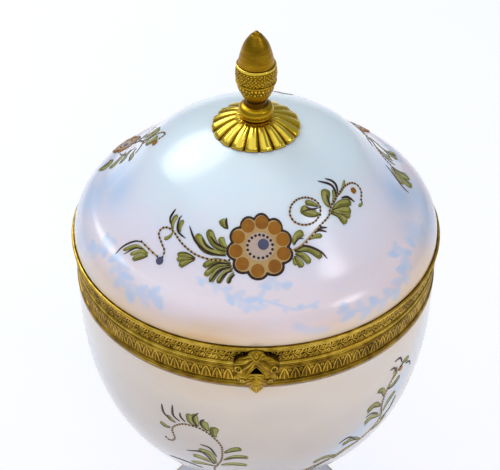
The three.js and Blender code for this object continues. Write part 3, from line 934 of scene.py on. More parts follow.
# Finial
def pebbles(around, share):
    """Uneven small pebbles round the cup, at one share of the rows down it."""
    ring = math.floor(min(share, PEBBLE_ROWS + 1.99))
    cell = around + 0.5 * (ring % 2)
    number = np.floor(cell).astype(int) % PEBBLE_COUNT
    shift = np.random.default_rng(40 + ring).uniform(-0.22, 0.22, (3, PEBBLE_COUNT))[:, number]
    x = (cell % 1.0 - 0.5 + shift[0]) * TAU * CUP_RADIUS / PEBBLE_COUNT
    y = (share - ring - 0.5 + shift[1]) * (CUP_RIM - CUP_LINE) / PEBBLE_ROWS
    return (0.24 + 0.5 * shift[2]) * bump(np.hypot(x, y), 0.52) - 0.10


def finial_parts():
    """The finial's outline from the tip down, in parts."""
    knop_bottom = KNOP_TOP - KNOP_HEIGHT
    stud_bottom = DOME_TOP - GLASS_WALL - FIT_GAP - NUT_HEIGHT - STUD_END
    acorn = smooth_curve([
        (0, ACORN_TIP), (0.7, ACORN_TIP - 0.18), (1.35, ACORN_TIP - 1.0), (2.2, ACORN_TIP - 1.75),
        (ACORN_RADIUS * 0.70, ACORN_TIP - 5.0), (ACORN_RADIUS * 0.92, ACORN_TIP - 9.4),
        (ACORN_RADIUS, CUP_RIM + 0.45),
    ], 44)
    acorn[0][0] = 0
    lip = [(ACORN_RADIUS - 0.15, CUP_RIM + 0.3)]
    lip += arc((CUP_RIM_RADIUS - 0.2, CUP_RIM - 0.05), 0.42, 110, -60, 8)
    cup = smooth_curve([
        (CUP_RADIUS - 0.3, CUP_RIM - 0.75), (CUP_RADIUS - 0.02, CUP_BELLY),
        (CUP_RADIUS - 0.25, CUP_LINE + 0.3),
    ], 34)
    line = [(CUP_RADIUS - 0.5, CUP_LINE + 0.1)]
    line += arc((CUP_RADIUS - 0.42, CUP_LINE - 0.35), 0.42, 80, -80, 7)
    under = smooth_curve([
        (CUP_RADIUS - 0.55, CUP_LINE - 0.85), (6.2, 68.0), (CUP_FOOT, CUP_FOOT_HEIGHT), (3.9, 63.3),
        (NECK_RADIUS, NECK_HEIGHT), (3.75, KNOP_TOP + 0.35),
    ], 30)
    round_knop = smooth_curve([
        (4.4, KNOP_TOP), (5.5, KNOP_TOP - 0.75), (KNOP_RADIUS, KNOP_TOP - 2.2), (5.85, KNOP_TOP - 3.2),
    ], 14)
    knop = [(4.15, KNOP_TOP + 0.15), *round_knop, (5.45, KNOP_TOP - 3.45)]
    knop += arc((5.25, knop_bottom + 0.5), 0.42, 60, -80, 6)
    stud = [(STUD_RADIUS, knop_bottom), (STUD_RADIUS, stud_bottom + 0.3)]
    stud += [(STUD_RADIUS - 0.3, stud_bottom), (0, stud_bottom)]
    return acorn, lip, cup, line, under, knop, stud


def make_finial():
    parts = finial_parts()
    outline = np.vstack(parts)
    ends = np.cumsum([len(part) for part in parts])
    acorn_end, cup_start, cup_end, under_start, knop_start, stud_start = ends[:-1]
    steps = PEBBLE_COUNT * PEBBLE_COLUMNS
    around = np.arange(steps) / steps * PEBBLE_COUNT
    relief = np.zeros((len(outline), steps))
    for row in range(cup_start, cup_end):
        share = (row - cup_start) / (cup_end - cup_start - 1) * PEBBLE_ROWS
        relief[row] = pebbles(around, share)
    for step in range(UNDER_PEBBLE_STEPS):
        below = step / UNDER_PEBBLE_STEPS * 1.99
        relief[under_start + 1 + step] = pebbles(around, PEBBLE_ROWS + below)
    # Painted shade between the pebbles and over the pebbled rows, then each part's set painted shade or
    # highlight
    dark = np.clip(hollows(relief, 3, 9.0) + 0.12 * (relief != 0), 0, 1)
    dark[:acorn_end] = ACORN_SHADE
    dark[acorn_end - 1:acorn_end + 1] = ACORN_SEAT_SHADE
    dark[acorn_end + 2:cup_start] = CUP_LIP_SHADE
    dark[cup_end - 1:cup_end + 2] = CUP_GROOVE_SHADE
    dark[knop_start - 8:knop_start + 1] = NECK_SHADE
    dark[stud_start - 8:stud_start - 6] = KNOP_GROOVE_SHADE
    piece = turned_piece(
        "acorn_finial", outline, steps, [BRIGHT_GILT], "lid", "gilt_bright", relief, 60, hollow=dark,
    )
    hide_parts("finial")


def dome_height(radius):
    """Height of the lid's crown at a distance from the axis."""
    return DOME_TOP - (CROWN_CURVE - np.sqrt(CROWN_CURVE ** 2 - radius ** 2))


def petal_relief(share, petal):
    """Relief, scalloping and shade of the petals, for shares of the way out and places across a petal."""
    grow = np.clip(share * 5, 0, 1)
    body = np.sqrt(np.clip(1 - petal ** 2, 0, 1))
    ridge = 1 - np.abs(petal + 0.12) / 1.12
    side_ridge = bump(petal - 0.55, 0.24)
    crown = 0.30 + 0.62 * share
    relief = grow * (crown * (0.55 * body + 0.75 * ridge - 0.55) + 0.24 * side_ridge)
    scallop = 0.80 * (1 - body) * (share ** 6)
    valley = np.clip(0.58 - ridge - 0.30 * side_ridge, -0.42, 0.5)
    seam = bump(np.abs(petal) - 1.0, 0.2)
    # Painted shade in the valleys and along the seams between petals
    dark = np.clip(0.25 + 0.85 * valley * grow + 0.25 * seam * grow, 0, 1)
    return relief, scallop, dark


def make_rosette():
    """A pressed rosette: round petals between raised edges, with a scalloped rim."""
    collar_top = KNOP_TOP - KNOP_HEIGHT - FIT_GAP
    edge_top = dome_height(ROSETTE_RADIUS) + FIT_GAP + ROSETTE_SHEET
    radius = np.r_[[STUD_RADIUS + FIT_GAP, 3.6, 5.0], np.linspace(ROSETTE_COLLAR, ROSETTE_RADIUS, 34)]
    radius = radius[:, None]
    share = np.clip((radius - ROSETTE_COLLAR) / (ROSETTE_RADIUS - ROSETTE_COLLAR), 0, 1)
    columns = PETAL_COUNT * PETAL_COLUMNS
    petal = (np.arange(columns) / PETAL_COLUMNS % 1.0) * 2 - 1
    relief, scallop, dark = petal_relief(share, petal[None, :])
    top = collar_top + (edge_top - collar_top) * share
    top = top + 0.7 * np.sin(math.pi * share) * (1 - 0.25 * share)
    upper = top + relief - 0.35 * np.clip((share - 0.9) / 0.1, 0, 1) ** 2
    lower = np.maximum(upper - ROSETTE_SHEET, dome_height(radius) + 0.08)
    upper = np.maximum(upper, lower + 0.25)
    angle = TAU * (np.arange(columns) - PETAL_COLUMNS / 2) / columns - math.pi / 2 + ROSETTE_TURN
    angle = angle + TAU / PETAL_COUNT / 2
    reach = radius - scallop
    points = np.vstack([polar(reach, angle, upper), polar(reach, angle, lower)[::-1]])
    # The rosette's underside gets painted shade
    piece = new_piece(
        "finial_rosette_fluted", points.reshape(-1, 3), ring_faces(len(points), columns),
        [BRIGHT_GILT], "lid", "gilt_bright", 60,
        hollow=np.vstack([dark, np.full_like(dark, ROSETTE_UNDER_SHADE)]),
    )
    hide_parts("finial_rosette")


def make_nut():
    """The six-sided nut inside the lid, with its corners turned off, that holds the finial."""
    top = DOME_TOP - GLASS_WALL - FIT_GAP
    bottom = top - NUT_HEIGHT
    steps = 96
    turn = turns(steps)
    flat = NUT_RADIUS * math.cos(math.pi / 6)
    six = flat / np.cos(np.mod(turn, math.pi / 3) - math.pi / 6)
    hole = STUD_RADIUS + SEAM_HALF
    rows = [
        (np.full(steps, hole + 0.25), top), (np.minimum(six, flat + 0.1), top), (six, top - 0.3),
        (six, bottom + 0.3), (np.minimum(six, flat + 0.1), bottom), (np.full(steps, hole + 0.25), bottom),
        (np.full(steps, hole), bottom + 0.25), (np.full(steps, hole), top - 0.25),
    ]
    points = np.vstack([polar(radius, turn, np.full(steps, height)) for radius, height in rows])
    piece = new_piece(
        "finial_hex_nut", points, ring_faces(len(rows), steps), [GILT], "lid", "gilt_rim", 30,
        hollow=np.full(len(points), 0.5),
    )
    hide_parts("finial_nut")


# Clasp
def keyhole_reach(angle, grow=0.0):
    """Distance from the keyhole's middle to its edge, each way round."""
    nearest = np.full(angle.shape, np.inf)
    for (x0, z0), (x1, z1) in zip(KEYHOLE, KEYHOLE[1:] + KEYHOLE[:1]):
        cross = np.cos(angle) * (z1 - z0) - np.sin(angle) * (x1 - x0)
        reach = (x0 * (z1 - z0) - z0 * (x1 - x0)) / np.where(np.abs(cross) < 1e-9, 1e-9, cross)
        nearest = np.where(reach > 0, np.minimum(nearest, reach), nearest)
    return nearest + grow


def clasp_relief(x, z):
    """Rocaille carving: shell ribs, volutes, leaves, a rimmed keyhole and a pendant leaf."""
    side = np.abs(x)
    relief = np.zeros_like(x)
    # Shell ribs fan out from under the peak, finer on the left
    fan = np.degrees(np.arctan2(7.4 - z, side + 0.2))
    reach = np.hypot(side + 0.2, 7.4 - z)
    ribs = 0.5 + 0.5 * np.cos(np.radians((fan - 6 + 2.2 * reach) * np.where(x < 0, 18.0, 12.0)))
    shell = bump(fan - 40, 46) * np.clip((reach - 1.8) / 2.5, 0, 1) * (z > -1.8)
    relief += 0.80 * ribs * shell
    # Volutes at the widest place of each side
    for centre, wide in (((5.9, 1.5), 1.25), ((4.6, -3.9), 0.95)):
        away = np.hypot(side - centre[0], z - centre[1])
        curl = 0.62 * bump(np.abs(away - wide * 0.72), wide * 0.36)
        eye = 0.55 * bump(away, wide * 0.34)
        relief = relief * (1 - 0.85 * bump(away, wide * 1.15)) + (curl + eye)
    # Leaves between the lower volutes and the pendant
    for stroke in ((1.5, -4.2, 3.2, -6.0), (2.5, -3.0, 5.8, -5.2), (0.9, -3.6, 1.9, -7.4)):
        relief = np.maximum(relief, ridge(side, z, stroke, 0.45, 0.48))
    # Moustache under the keyhole and the border round it
    relief = np.maximum(relief, ridge(side, z, (0.1, -1.75, 2.4, -2.35), 0.42, 0.42))
    around = np.arctan2(z - CLASP_CENTRE, x)
    from_hole = np.hypot(x, z - CLASP_CENTRE) - keyhole_reach(around)
    relief = relief * np.clip(from_hole / 0.9, 0, 1) + 0.40 * bump(from_hole - 0.36, 0.36)
    # Pendant leaf with a vein, and the bud at the peak
    pendant = bump(side, 1.7) * (z < -6.4)
    relief = np.maximum(relief, pendant * (0.18 + 0.30 * bump(side, 0.34)))
    relief = np.maximum(relief, ridge(side, z, (1.75, -8.2, 0.25, -10.0), 0.34, 0.40))
    relief = np.maximum(relief, 0.50 * bump(np.hypot(x, (z - 7.2) * 0.8), 1.0))
    relief = np.maximum(relief, ridge(side, z, (0.4, 5.4, 1.9, 7.4), 0.30, 0.45))
    return relief


def make_clasp():
    around, rings = 420, 46
    mirrored = [(-x, z) for x, z in reversed(CLASP_HALF_EDGE)]
    edge = [(0, CLASP_TIP), *CLASP_HALF_EDGE, (0, CLASP_PEAK), *mirrored]
    edge = smooth_curve(edge, around, closed=True)
    angle = np.arctan2(edge[:, 1] - CLASP_CENTRE, edge[:, 0])
    hole = keyhole_reach(angle)[:, None] * np.stack([np.cos(angle), np.sin(angle)], axis=-1)
    hole = hole + (0, CLASP_CENTRE)
    share = np.linspace(0, 1, rings)[:, None]
    flat = hole[None] + (edge - hole)[None] * share[..., None]
    x, z = flat[..., 0], flat[..., 1]
    carved = clasp_relief(x, z)
    swell = np.sin(math.pi * np.minimum(share + 0.12, 1.0))
    front = CLASP_SEAT + CLASP_DEPTH - CLASP_EDGE
    rounding = 0.7 * (1 - np.clip((1 - share) / 0.07, 0, 1)) ** 2
    depth = front - 0.35 + 0.80 * CLASP_EDGE * swell + carved - rounding
    lip = np.clip((z - 5.2) / 2.0, 0, 1) * (LIP_PROUD - FOOT_BEAD_PROUD)
    back = np.sqrt(np.maximum((CLASP_SEAT + lip) ** 2 - x ** 2, 1))
    depth = np.maximum(np.minimum(depth, front + CLASP_EDGE), back + 0.35)
    face = np.stack([x, -depth, z], axis=-1)
    rear = np.stack([x, -back, z], axis=-1)[[0, rings // 3, 2 * rings // 3, rings - 1]][::-1]
    points = np.vstack([face, rear])
    # Painted shade: darker in the carving's hollows and on its rolled edge, near black on the back and in
    # the keyhole
    dark = np.clip(hollows(carved, 5, 5.0) + 0.3 * rounding + 0.06, 0, 1)
    dark = np.vstack([dark, np.full((len(rear), around), 0.9)])
    piece = new_piece(
        "clasp_carved", points.reshape(-1, 3), ring_faces(len(points), around), [GILT],
        "lid", "gilt_rim", 60, hollow=dark,
    )
    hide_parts("clasp")


# Hinge
def rod_points(outline, steps=40):
    """An outline of (distance across, radius) turned round the hinge's axis."""
    turn = turns(steps)
    return np.vstack([
        np.stack([np.full(steps, across), HINGE_Y + radius * np.cos(turn), radius * np.sin(turn)], axis=-1)
        for across, radius in outline
    ])


def knuckle(start, end):
    bore, rim, bevel = PIN_RADIUS + 0.1, KNUCKLE_RADIUS, 0.2
    outline = [(start, bore), (start, rim - bevel), (start + bevel, rim)]
    outline += [(end - bevel, rim), (end, rim - bevel), (end, bore)]
    points = rod_points(outline)
    return points, ring_faces(len(outline), len(points) // len(outline))


def leaf_plate(side, spans):
    """A hinge leaf with rounded corners, kept off the other leaf's knuckles."""
    half, high = HINGE_WIDTH / 2, LEAF_HEIGHT
    ring = []
    for x in np.linspace(-half, half, 61):
        mine = any(start - 0.05 <= x <= end + 0.05 for start, end in spans)
        ring.append((x, LEAF_START if mine else KNUCKLE_RADIUS + FIT_GAP))
    ring += [(half, high - LEAF_CORNER)]
    ring += arc((half - LEAF_CORNER, high - LEAF_CORNER), LEAF_CORNER, 15, 90, 6)
    ring += arc((LEAF_CORNER - half, high - LEAF_CORNER), LEAF_CORNER, 90, 165, 6)
    ring += [(-half, high - LEAF_CORNER)]
    ring = np.array(ring) * (1, side)
    centre = ring.mean(axis=0)
    outer = CLASP_SEAT + LEAF_THICKNESS
    rows = []
    for y, shrink in ((CLASP_SEAT, 1.0), (outer - 0.2, 1.0), (outer, 0.965)):
        at = centre + (ring - centre) * shrink
        rows.append(np.stack([at[:, 0], np.full(len(at), y), at[:, 1]], axis=-1))
    count = len(ring)
    faces = ring_faces(3, count, closed=False)
    faces += [list(range(2 * count, 3 * count)), list(range(count))[::-1]]
    return np.vstack(rows), faces


def rivet(x, z, steps=24):
    """A domed rivet head on a leaf."""
    face = CLASP_SEAT + LEAF_THICKNESS
    turn = turns(steps)
    rows = [(1.0, -0.3), (1.0, 0.05), (0.8, 0.28), (0.4, 0.42)]
    points = []
    for share, out in rows:
        radius = RIVET_RADIUS * share
        ring = [x + radius * np.cos(turn), np.full(steps, face + out), z + radius * np.sin(turn)]
        points.append(np.stack(ring, axis=-1))
    points = np.vstack([*points, [(x, face + 0.46, z)]])
    last = len(points) - 1
    top = last - steps
    faces = ring_faces(len(rows), steps, closed=False)
    faces += [[top + k, last, top + (k + 1) % steps] for k in range(steps)]
    faces.append(list(range(steps))[::-1])
    return points, faces


def joined(parts):
    """Several closed shapes as one, each with its faces turned outwards."""
    points, faces, start = [], [], 0
    for some, their_faces in parts:
        if signed_volume(some, their_faces) < 0:
            their_faces = [face[::-1] for face in their_faces]
        points.append(some)
        faces += [[i + start for i in face] for face in their_faces]
        start += len(some)
    return np.vstack(points), faces


def make_hinge_halves():
    start, end = HINGE_MIDDLE / 2, HINGE_WIDTH / 2
    middle = [(-start, start)]
    outer = [(-end, -start - FIT_GAP), (start + FIT_GAP, end)]
    halves = (
        ("body_hinge_half", "body_hinge_leaf", "base", -1, outer),
        ("lid_hinge_half", "lid_hinge_leaf", "lid", 1, middle),
    )
    for name, replaced, body, side, spans in halves:
        parts = [leaf_plate(side, spans)] + [knuckle(*span) for span in spans]
        parts += [rivet(x, side * RIVET_HEIGHT) for x in (-RIVET_ACROSS, RIVET_ACROSS)]
        points, faces = joined(parts)
        shade = np.full(len(points), 0.5)
        piece = new_piece(name, points, faces, [GILT], body, "gilt_rim", 35, hollow=shade)
        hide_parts(replaced)


def make_hinge_pin(steps=40):
    half = HINGE_WIDTH / 2 + FIT_GAP
    head = [(half, PIN_RADIUS), (half, PIN_HEAD_RADIUS - 0.1), (half + 0.15, PIN_HEAD_RADIUS)]
    head += [(half + 0.45, PIN_HEAD_RADIUS * 0.9), (half + PIN_HEAD_LENGTH, PIN_HEAD_RADIUS * 0.4)]
    points = rod_points([(-x, radius) for x, radius in reversed(head)] + head, steps)
    count = len(points)
    faces = ring_faces(count // steps, steps, closed=False)
    faces += [list(range(steps)), list(range(count - steps, count))[::-1]]
    piece = new_piece(
        "hinge_pin_domed", points, faces, [BRIGHT_GILT], "base", "gilt_bright", 35,
        hollow=np.full(count, 0.4),
    )
    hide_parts("hinge_pin")


# Painted sprays
class Glass:
    """The outside of a turned piece of glass, to paint on: a turn round it and a distance down it."""

    def __init__(self, line):
        self.line = np.asarray(line, float)
        self.down = length_along(self.line)
        along = np.gradient(self.line, self.down, axis=0)
        along /= np.linalg.norm(along, axis=1, keepdims=True)
        self.normal = np.stack([-along[:, 1], along[:, 0]], axis=-1)

    def radius(self, down):
        return np.interp(down, self.down, self.line[:, 0])

    def point(self, turn, down, lift):
        radius, height = (np.interp(down, self.down, self.line[:, k]) for k in (0, 1))
        out, up = (np.interp(down, self.down, self.normal[:, k]) for k in (0, 1))
        return polar(radius + out * lift, turn, height + up * lift)


class Spray:
    """Brush strokes in a flat drawing, x to the right and y up in millimetres, laid on the glass."""

    def __init__(self, glass, turn, down):
        self.glass, self.turn, self.down = glass, turn, down
        self.reference = float(glass.radius(down))
        self.points, self.faces, self.paints, self.tones = [], [], [], []
        self.count = 0
        self.fullness = LEAF_FULLNESS

    def place(self, path):
        path = np.asarray(path, float)
        return self.turn + path[..., 0] / self.reference, self.down - path[..., 1]

    def keep(self, rows, paint, tone):
        """Closes rows of points round a stroke into one solid, with a single point at each end."""
        rows = np.asarray(rows)
        count, around = rows.shape[:2]
        flat = np.vstack([rows[0, :1], rows[1:-1].reshape(-1, 3), rows[-1, :1]])
        ids = np.zeros((count, around), int)
        ids[1:-1] = 1 + np.arange((count - 2) * around).reshape(-1, around)
        ids[-1] = len(flat) - 1
        faces = grid_faces(ids, False, True)
        if signed_volume(flat, faces) < 0:
            faces = [face[::-1] for face in faces]
        self.points.append(flat)
        self.faces += [[i + self.count for i in face] for face in faces]
        self.paints += [paint] * len(faces)
        self.tones.append(np.full(len(flat), tone))
        self.count += len(flat)

    def stroke(self, path, width, paint, shape, lift=PAINT_LIFT, tone=0.0):
        """A brush stroke along a path, whose half width at each share of its length is the shape's."""
        steps = int(max(8, length_along(path)[-1] / STROKE_STEP))
        turn, down = self.place(smooth_curve(path, steps))
        radius = self.glass.radius(down)
        across = np.gradient(turn) * radius
        along = -np.gradient(down)
        size = np.maximum(np.hypot(across, along), 1e-9)
        side = (-along / size, across / size)
        half = width / 2 * shape(np.linspace(0, 1, steps))
        section = ((-1, -0.35), (-0.9, 0.85), (0, 1.0), (0.9, 0.85), (1, -0.35), (0, -1.2))
        columns = []
        for place, high in section:
            off = half * place
            beside = turn + side[0] * off / radius
            columns.append(self.glass.point(beside, down - side[1] * off, lift * high))
        self.keep(np.stack(columns, axis=1), paint, tone)

    def dab(self, centre, reach, paint, lift=PAINT_LIFT, tone=0.0, base=0.0, steps=24, rings=(0.5,)):
        """A round dab. Its reach is a number, or a function of the angle."""
        angle = turns(steps)
        edge = reach(angle) if callable(reach) else np.full(steps, reach)
        turn, down = self.place([centre])
        radius = self.glass.radius(down)
        under = -PAINT_LIFT * 1.2
        profile = [(0, under)]
        profile += [(share, under) for share in reversed(rings)] if len(rings) > 1 else []
        profile += [(1.0, -0.02), (0.95, base + 0.85 * lift)]
        profile += [(share, base + lift) for share in rings] + [(0, base + lift)]
        rows = []
        for share, high in profile:
            x, y = edge * share * np.cos(angle), edge * share * np.sin(angle)
            rows.append(self.glass.point(turn + x / radius, down - y, high))
        self.keep(rows, paint, tone)

    def leaf(self, root, middle, tip, width):
        """A leaf: a broad green stroke, a paler one inside it and a dark line along one edge."""
        tone = random.uniform(-0.25, 0.4)
        width *= self.fullness
        self.stroke([root, middle, tip], width, LEAF, comma, tone=tone)
        path = np.array([root, middle, tip], float)
        ahead = path[2] - path[0]
        side = np.array([-ahead[1], ahead[0]]) / max(np.hypot(*ahead), 1e-6) * width
        if ahead[0] < 0:
            side = -side
        pale = path + side * 0.12
        pale[0] = path[0] * 0.75 + path[1] * 0.25
        pale[2] = path[1] * 0.15 + pale[2] * 0.85
        self.stroke(pale, width * 0.46, PALE_LEAF, comma, PAINT_LIFT * 1.6, tone)
        if width > EDGED_LEAF_WIDTH:
            edge = path - side * np.array([[0.0], [0.30], [0.34]])
            edge[2] = path[1] * 0.06 + edge[2] * 0.94
            self.stroke(edge, LEAF_EDGE_WIDTH, LINE, whip, PAINT_LIFT * 2.0)

    def dark(self, path, width):
        self.stroke(path, width * 1.1, LINE, taper, PAINT_LIFT * 2.4)

    def stem(self, path, side=0.0):
        """A tan line with dark beads painted along it, or along one side of it."""
        self.stroke(path, STEM_WIDTH, TAN, even, PAINT_LIFT * 2.6)
        length = length_along(smooth_curve(path, 80))[-1]
        beads = smooth_curve(path, max(int(length / BEAD_PITCH), 3))
        ahead = np.gradient(beads, axis=0)
        ahead /= np.maximum(np.linalg.norm(ahead, axis=1, keepdims=True), 1e-6)
        for place, way in zip(beads, ahead):
            at = place + np.array([-way[1], way[0]]) * side
            self.dab(at, STEM_BEAD, LINE, base=0.12, steps=8, rings=())

    def flower(self, centre, size):
        """Scalloped edge, ten ochre dabs, and a pale heart with a ring of dots and a blue eye."""
        centre = np.asarray(centre, float)
        step = TAU / FLOWER_LOBES
        lobe_centre, lobe_radius = LOBE_CENTRE * size, LOBE_RADIUS * size

        def scallop(grow):
            def reach(angle):
                away = np.mod(angle - FLOWER_LEAN + step / 2, step) - step / 2
                beyond = (lobe_radius + grow) ** 2 - (lobe_centre * np.sin(away)) ** 2
                return lobe_centre * np.cos(away) + np.sqrt(np.maximum(beyond, 0.01))
            return reach

        self.dab(centre, scallop(0.14), LINE, steps=120, base=0.08, rings=FLOWER_EDGE_RINGS)
        self.dab(centre, scallop(-0.42), TAN, steps=120, base=0.12, rings=FLOWER_EDGE_RINGS)
        for k in range(FLOWER_LOBES):
            angle = FLOWER_LEAN + step * (k + 0.06 * math.sin(5 * k))
            at = centre + np.array([math.cos(angle), math.sin(angle)]) * PETAL_CENTRE * size
            self.dab(at, PETAL_RADIUS * size, OCHRE, tone=random.uniform(-0.3, 0.3), base=0.16)
        self.dab(centre, HEART_RADIUS * size, CREAM, base=0.15, steps=48, rings=(0.66, 0.33))
        for k in range(HEART_DOTS):
            angle = TAU * (k + 0.3 + 0.12 * math.sin(7 * k)) / HEART_DOTS
            at = centre + np.array([DOT_RING[0] * math.cos(angle), DOT_RING[1] * math.sin(angle)]) * size
            self.dab(at, HEART_DOT_RADIUS * size, LINE, base=0.20, steps=10, rings=())
        self.dab(centre + np.array(EYE_OFFSET) * size, EYE_RADIUS * size, BLUE, base=0.21)

    def draw(self, stems=(), leaves=(), darks=(), long_stems=()):
        """Leaves first, then the dark lines, then the stems over both.

        A leaf or a dark line is the x and y of each of its points, and then its width.
        """
        for *path, width in leaves:
            self.leaf(*pairs(path), width)
        for *path, width in darks:
            self.dark(pairs(path), width)
        for path in stems:
            self.stem(path)
        for path in long_stems:
            self.stem(path, side=BEAD_SIDE)


def taper(t):
    """Pointed at both ends."""
    return np.sin(math.pi * np.clip(t, 0, 1)) ** 0.6 + 0.04


def comma(t):
    """Narrow at the root, widest near a round tip."""
    return np.clip((0.22 + 0.78 * t ** 0.8) * np.sqrt(np.clip(1 - t ** 6, 0, 1)), 0.03, 1)


def even(t):
    """The same width all along, with rounded ends."""
    return np.clip(np.minimum(t, 1 - t) * 14, 0.05, 1) ** 0.5


def whip(t):
    """Starts full and ends in a fine point."""
    return np.clip(1 - t, 0.04, 1) ** 0.6 * np.clip(t * 12, 0.2, 1)


def oval(centre, wide, tall, start, end, steps=11):
    """Points on an oval between two angles in degrees."""
    angle = np.radians(np.linspace(start, end, steps))
    return [(centre[0] + wide * math.cos(a), centre[1] + tall * math.sin(a)) for a in angle]


def front_left_half(spray):
    """A curling stem that ends in a second, small sprig with a blue bud."""
    spray.draw(
        stems=[
            [(-9.5, -5.0), (-15.2, -5.8), (-20.5, -5.4), (-25.8, -3.5), (-31.0, -0.9), (-34.4, -1.5),
             (-35.2, -4.0), (-32.6, -6.4), (-30.5, -8.2), (-30.2, -10.4)],
            [(-31.9, -11.0), (-35.5, -10.4), (-39.4, -9.8)],
        ],
        leaves=[
            (-34.8, -11.8, -40.0, -12.2, -43.2, -16.5, 1.7),
            (-34.8, -11.8, -37.8, -12.9, -40.3, -15.9, 1.7),
            (-34.6, -12.3, -36.5, -13.8, -38.7, -16.6, 2.1), (-30.9, -0.9, -32.1, 1.6, -31.8, 4.7, 1.9),
            (-27.9, -0.5, -28.8, 1.4, -28.7, 4.0, 1.7), (-30.4, -1.2, -31.0, -3.3, -32.6, -5.0, 1.5),
            (-10.4, -3.4, -17.3, -2.8, -22.2, 1.2, 3.4), (-10.5, -2.5, -15.1, -0.4, -18.4, 3.8, 3.0),
            (-10.5, -1.5, -12.3, 0.1, -13.6, 2.3, 2.4), (-11.5, 5.0, -13.2, 6.6, -14.3, 8.2, 3.0),
            (-19.9, -6.7, -23.4, -6.5, -26.2, -7.7, 2.0), (-19.9, -6.7, -23.2, -7.6, -25.8, -9.3, 2.1),
            (-19.8, -6.8, -22.5, -8.7, -24.3, -11.0, 2.3), (-8.7, -6.0, -13.6, -5.9, -17.3, -8.7, 2.3),
            (-8.5, -6.5, -13.1, -7.3, -16.1, -11.6, 2.2), (-8.2, -6.8, -12.1, -8.4, -14.2, -13.3, 2.2),
            (-7.9, -7.4, -10.4, -9.3, -12.0, -13.3, 2.0), (-7.5, -8.7, -8.6, -10.4, -9.0, -12.9, 1.7),
        ],
        darks=[
            (-38.4, -9.8, -41.1, -10.8, -43.2, -13.5, -44.1, -16.4, -43.8, -19.3, 0.6),
            (-36.7, -11.1, -40.0, -13.0, -42.0, -17.4, 0.5), (-32.4, 0.4, -33.9, 2.5, -33.5, 6.2, 0.75),
            (-25.0, -1.6, -29.0, -0.2, -30.3, 3.5, -29.7, 5.2, 0.75),
            (-14.4, -2.5, -17.6, -1.7, -20.0, 0.7, 0.65), (-10.8, -1.3, -14.4, -0.4, -17.4, 2.0, 0.7),
            (-14.7, -4.6, -21.1, -1.6, -25.7, 3.0, 0.8), (-10.3, -3.8, -14.4, -3.8, -17.7, -3.1, 0.6),
            (-11.2, 4.8, -12.3, 6.6, -12.7, 8.9, 0.8), (-20.1, -6.6, -23.2, -6.0, -26.4, -7.3, 0.4),
            (-8.8, -6.3, -12.8, -6.6, -15.7, -9.6, 0.7), (-8.3, -6.9, -12.0, -8.8, -14.3, -13.4, 0.75),
            (-7.6, -8.2, -10.2, -9.7, -11.8, -13.3, 0.6), (-7.2, -9.3, -8.5, -10.9, -8.9, -13.0, 0.8),
        ],
    )
    spray.dab((-30.5, -11.9), 1.4, BLUE, base=0.16)


def front_right_half(spray):
    """A stem through a beaded ring, with a leafy fork and a curl round an ochre dab."""
    spray.draw(
        stems=[
            oval((18.5, 9.4), 6.5, 4.6, -38, 322),
            [(22.0, 3.3), (24.6, 4.2), (26.9, 5.2), (28.3, 6.8), (30.5, 8.2), (34.5, 9.5), (37.7, 10.2),
             (41.4, 10.4), (45.0, 9.4), (46.5, 7.4), (46.0, 5.1), (43.4, 3.2)],
        ],
        long_stems=[[(9.8, -2.4), (12.8, -1.5), (15.5, -0.2), (18.3, 1.5), (22.0, 3.3)]],
        leaves=[
            (43.5, 3.1, 42.6, 2.0, 40.3, 2.1, 1.2), (28.9, 7.1, 28.8, 10.3, 31.7, 13.7, 3.6),
            (30.3, 7.7, 33.4, 9.9, 34.9, 12.1, 2.0), (33.7, 9.2, 38.0, 10.1, 43.0, 12.1, 1.1),
            (28.7, 6.4, 33.7, 6.7, 38.8, 4.9, 3.0), (28.1, 6.2, 32.3, 4.9, 36.6, 2.5, 3.4),
            (27.8, 6.0, 31.1, 3.8, 32.1, -0.2, 3.2), (31.1, 4.4, 34.0, 2.1, 35.0, 1.0, 2.2),
            (23.6, 6.7, 19.9, 8.3, 17.0, 11.0, 3.6), (24.4, 9.2, 22.4, 11.0, 19.4, 12.3, 2.2),
            (10.9, -0.8, 12.6, 2.0, 15.6, 2.9, 2.8), (16.1, 0.1, 19.1, 0.4, 21.8, -0.2, 1.8),
            (10.8, -2.6, 15.8, -3.0, 19.3, -7.0, 2.8), (10.8, -3.4, 13.4, -4.5, 15.2, -7.8, 2.4),
            (10.6, -3.9, 11.8, -6.0, 12.5, -8.6, 2.4), (10.2, -4.6, 10.5, -6.2, 10.9, -7.4, 1.7),
        ],
        darks=[
            (32.9, 8.3, 35.1, 11.5, 34.9, 14.2, 30.6, 17.4, 0.8),
            (35.0, 9.9, 37.2, 12.4, 37.1, 14.7, 34.8, 16.8, 0.8), (35.1, 8.2, 38.4, 7.1, 40.2, 3.9, 0.8),
            (28.9, 7.9, 29.9, 10.5, 30.0, 12.3, 0.5), (24.8, 8.8, 19.4, 9.5, 16.6, 9.2, 0.6),
            (23.3, 8.1, 20.9, 9.6, 18.6, 10.6, 0.5), (11.0, -0.6, 13.3, 1.1, 15.2, 0.6, 0.5),
            (18.3, 1.7, 21.4, 1.8, 23.9, 0.3, 0.7), (20.4, 2.2, 22.3, 2.4, 24.6, 1.7, 0.7),
            (10.6, -2.4, 14.8, -1.7, 19.1, -4.7, 20.8, -8.1, 0.8),
        ],
    )
    spray.dab((42.9, 7.3), 1.15, OCHRE, base=0.16)


def lid_spray(spray):
    front_left_half(spray)
    front_right_half(spray)
    spray.flower((0, 0), 1.0)


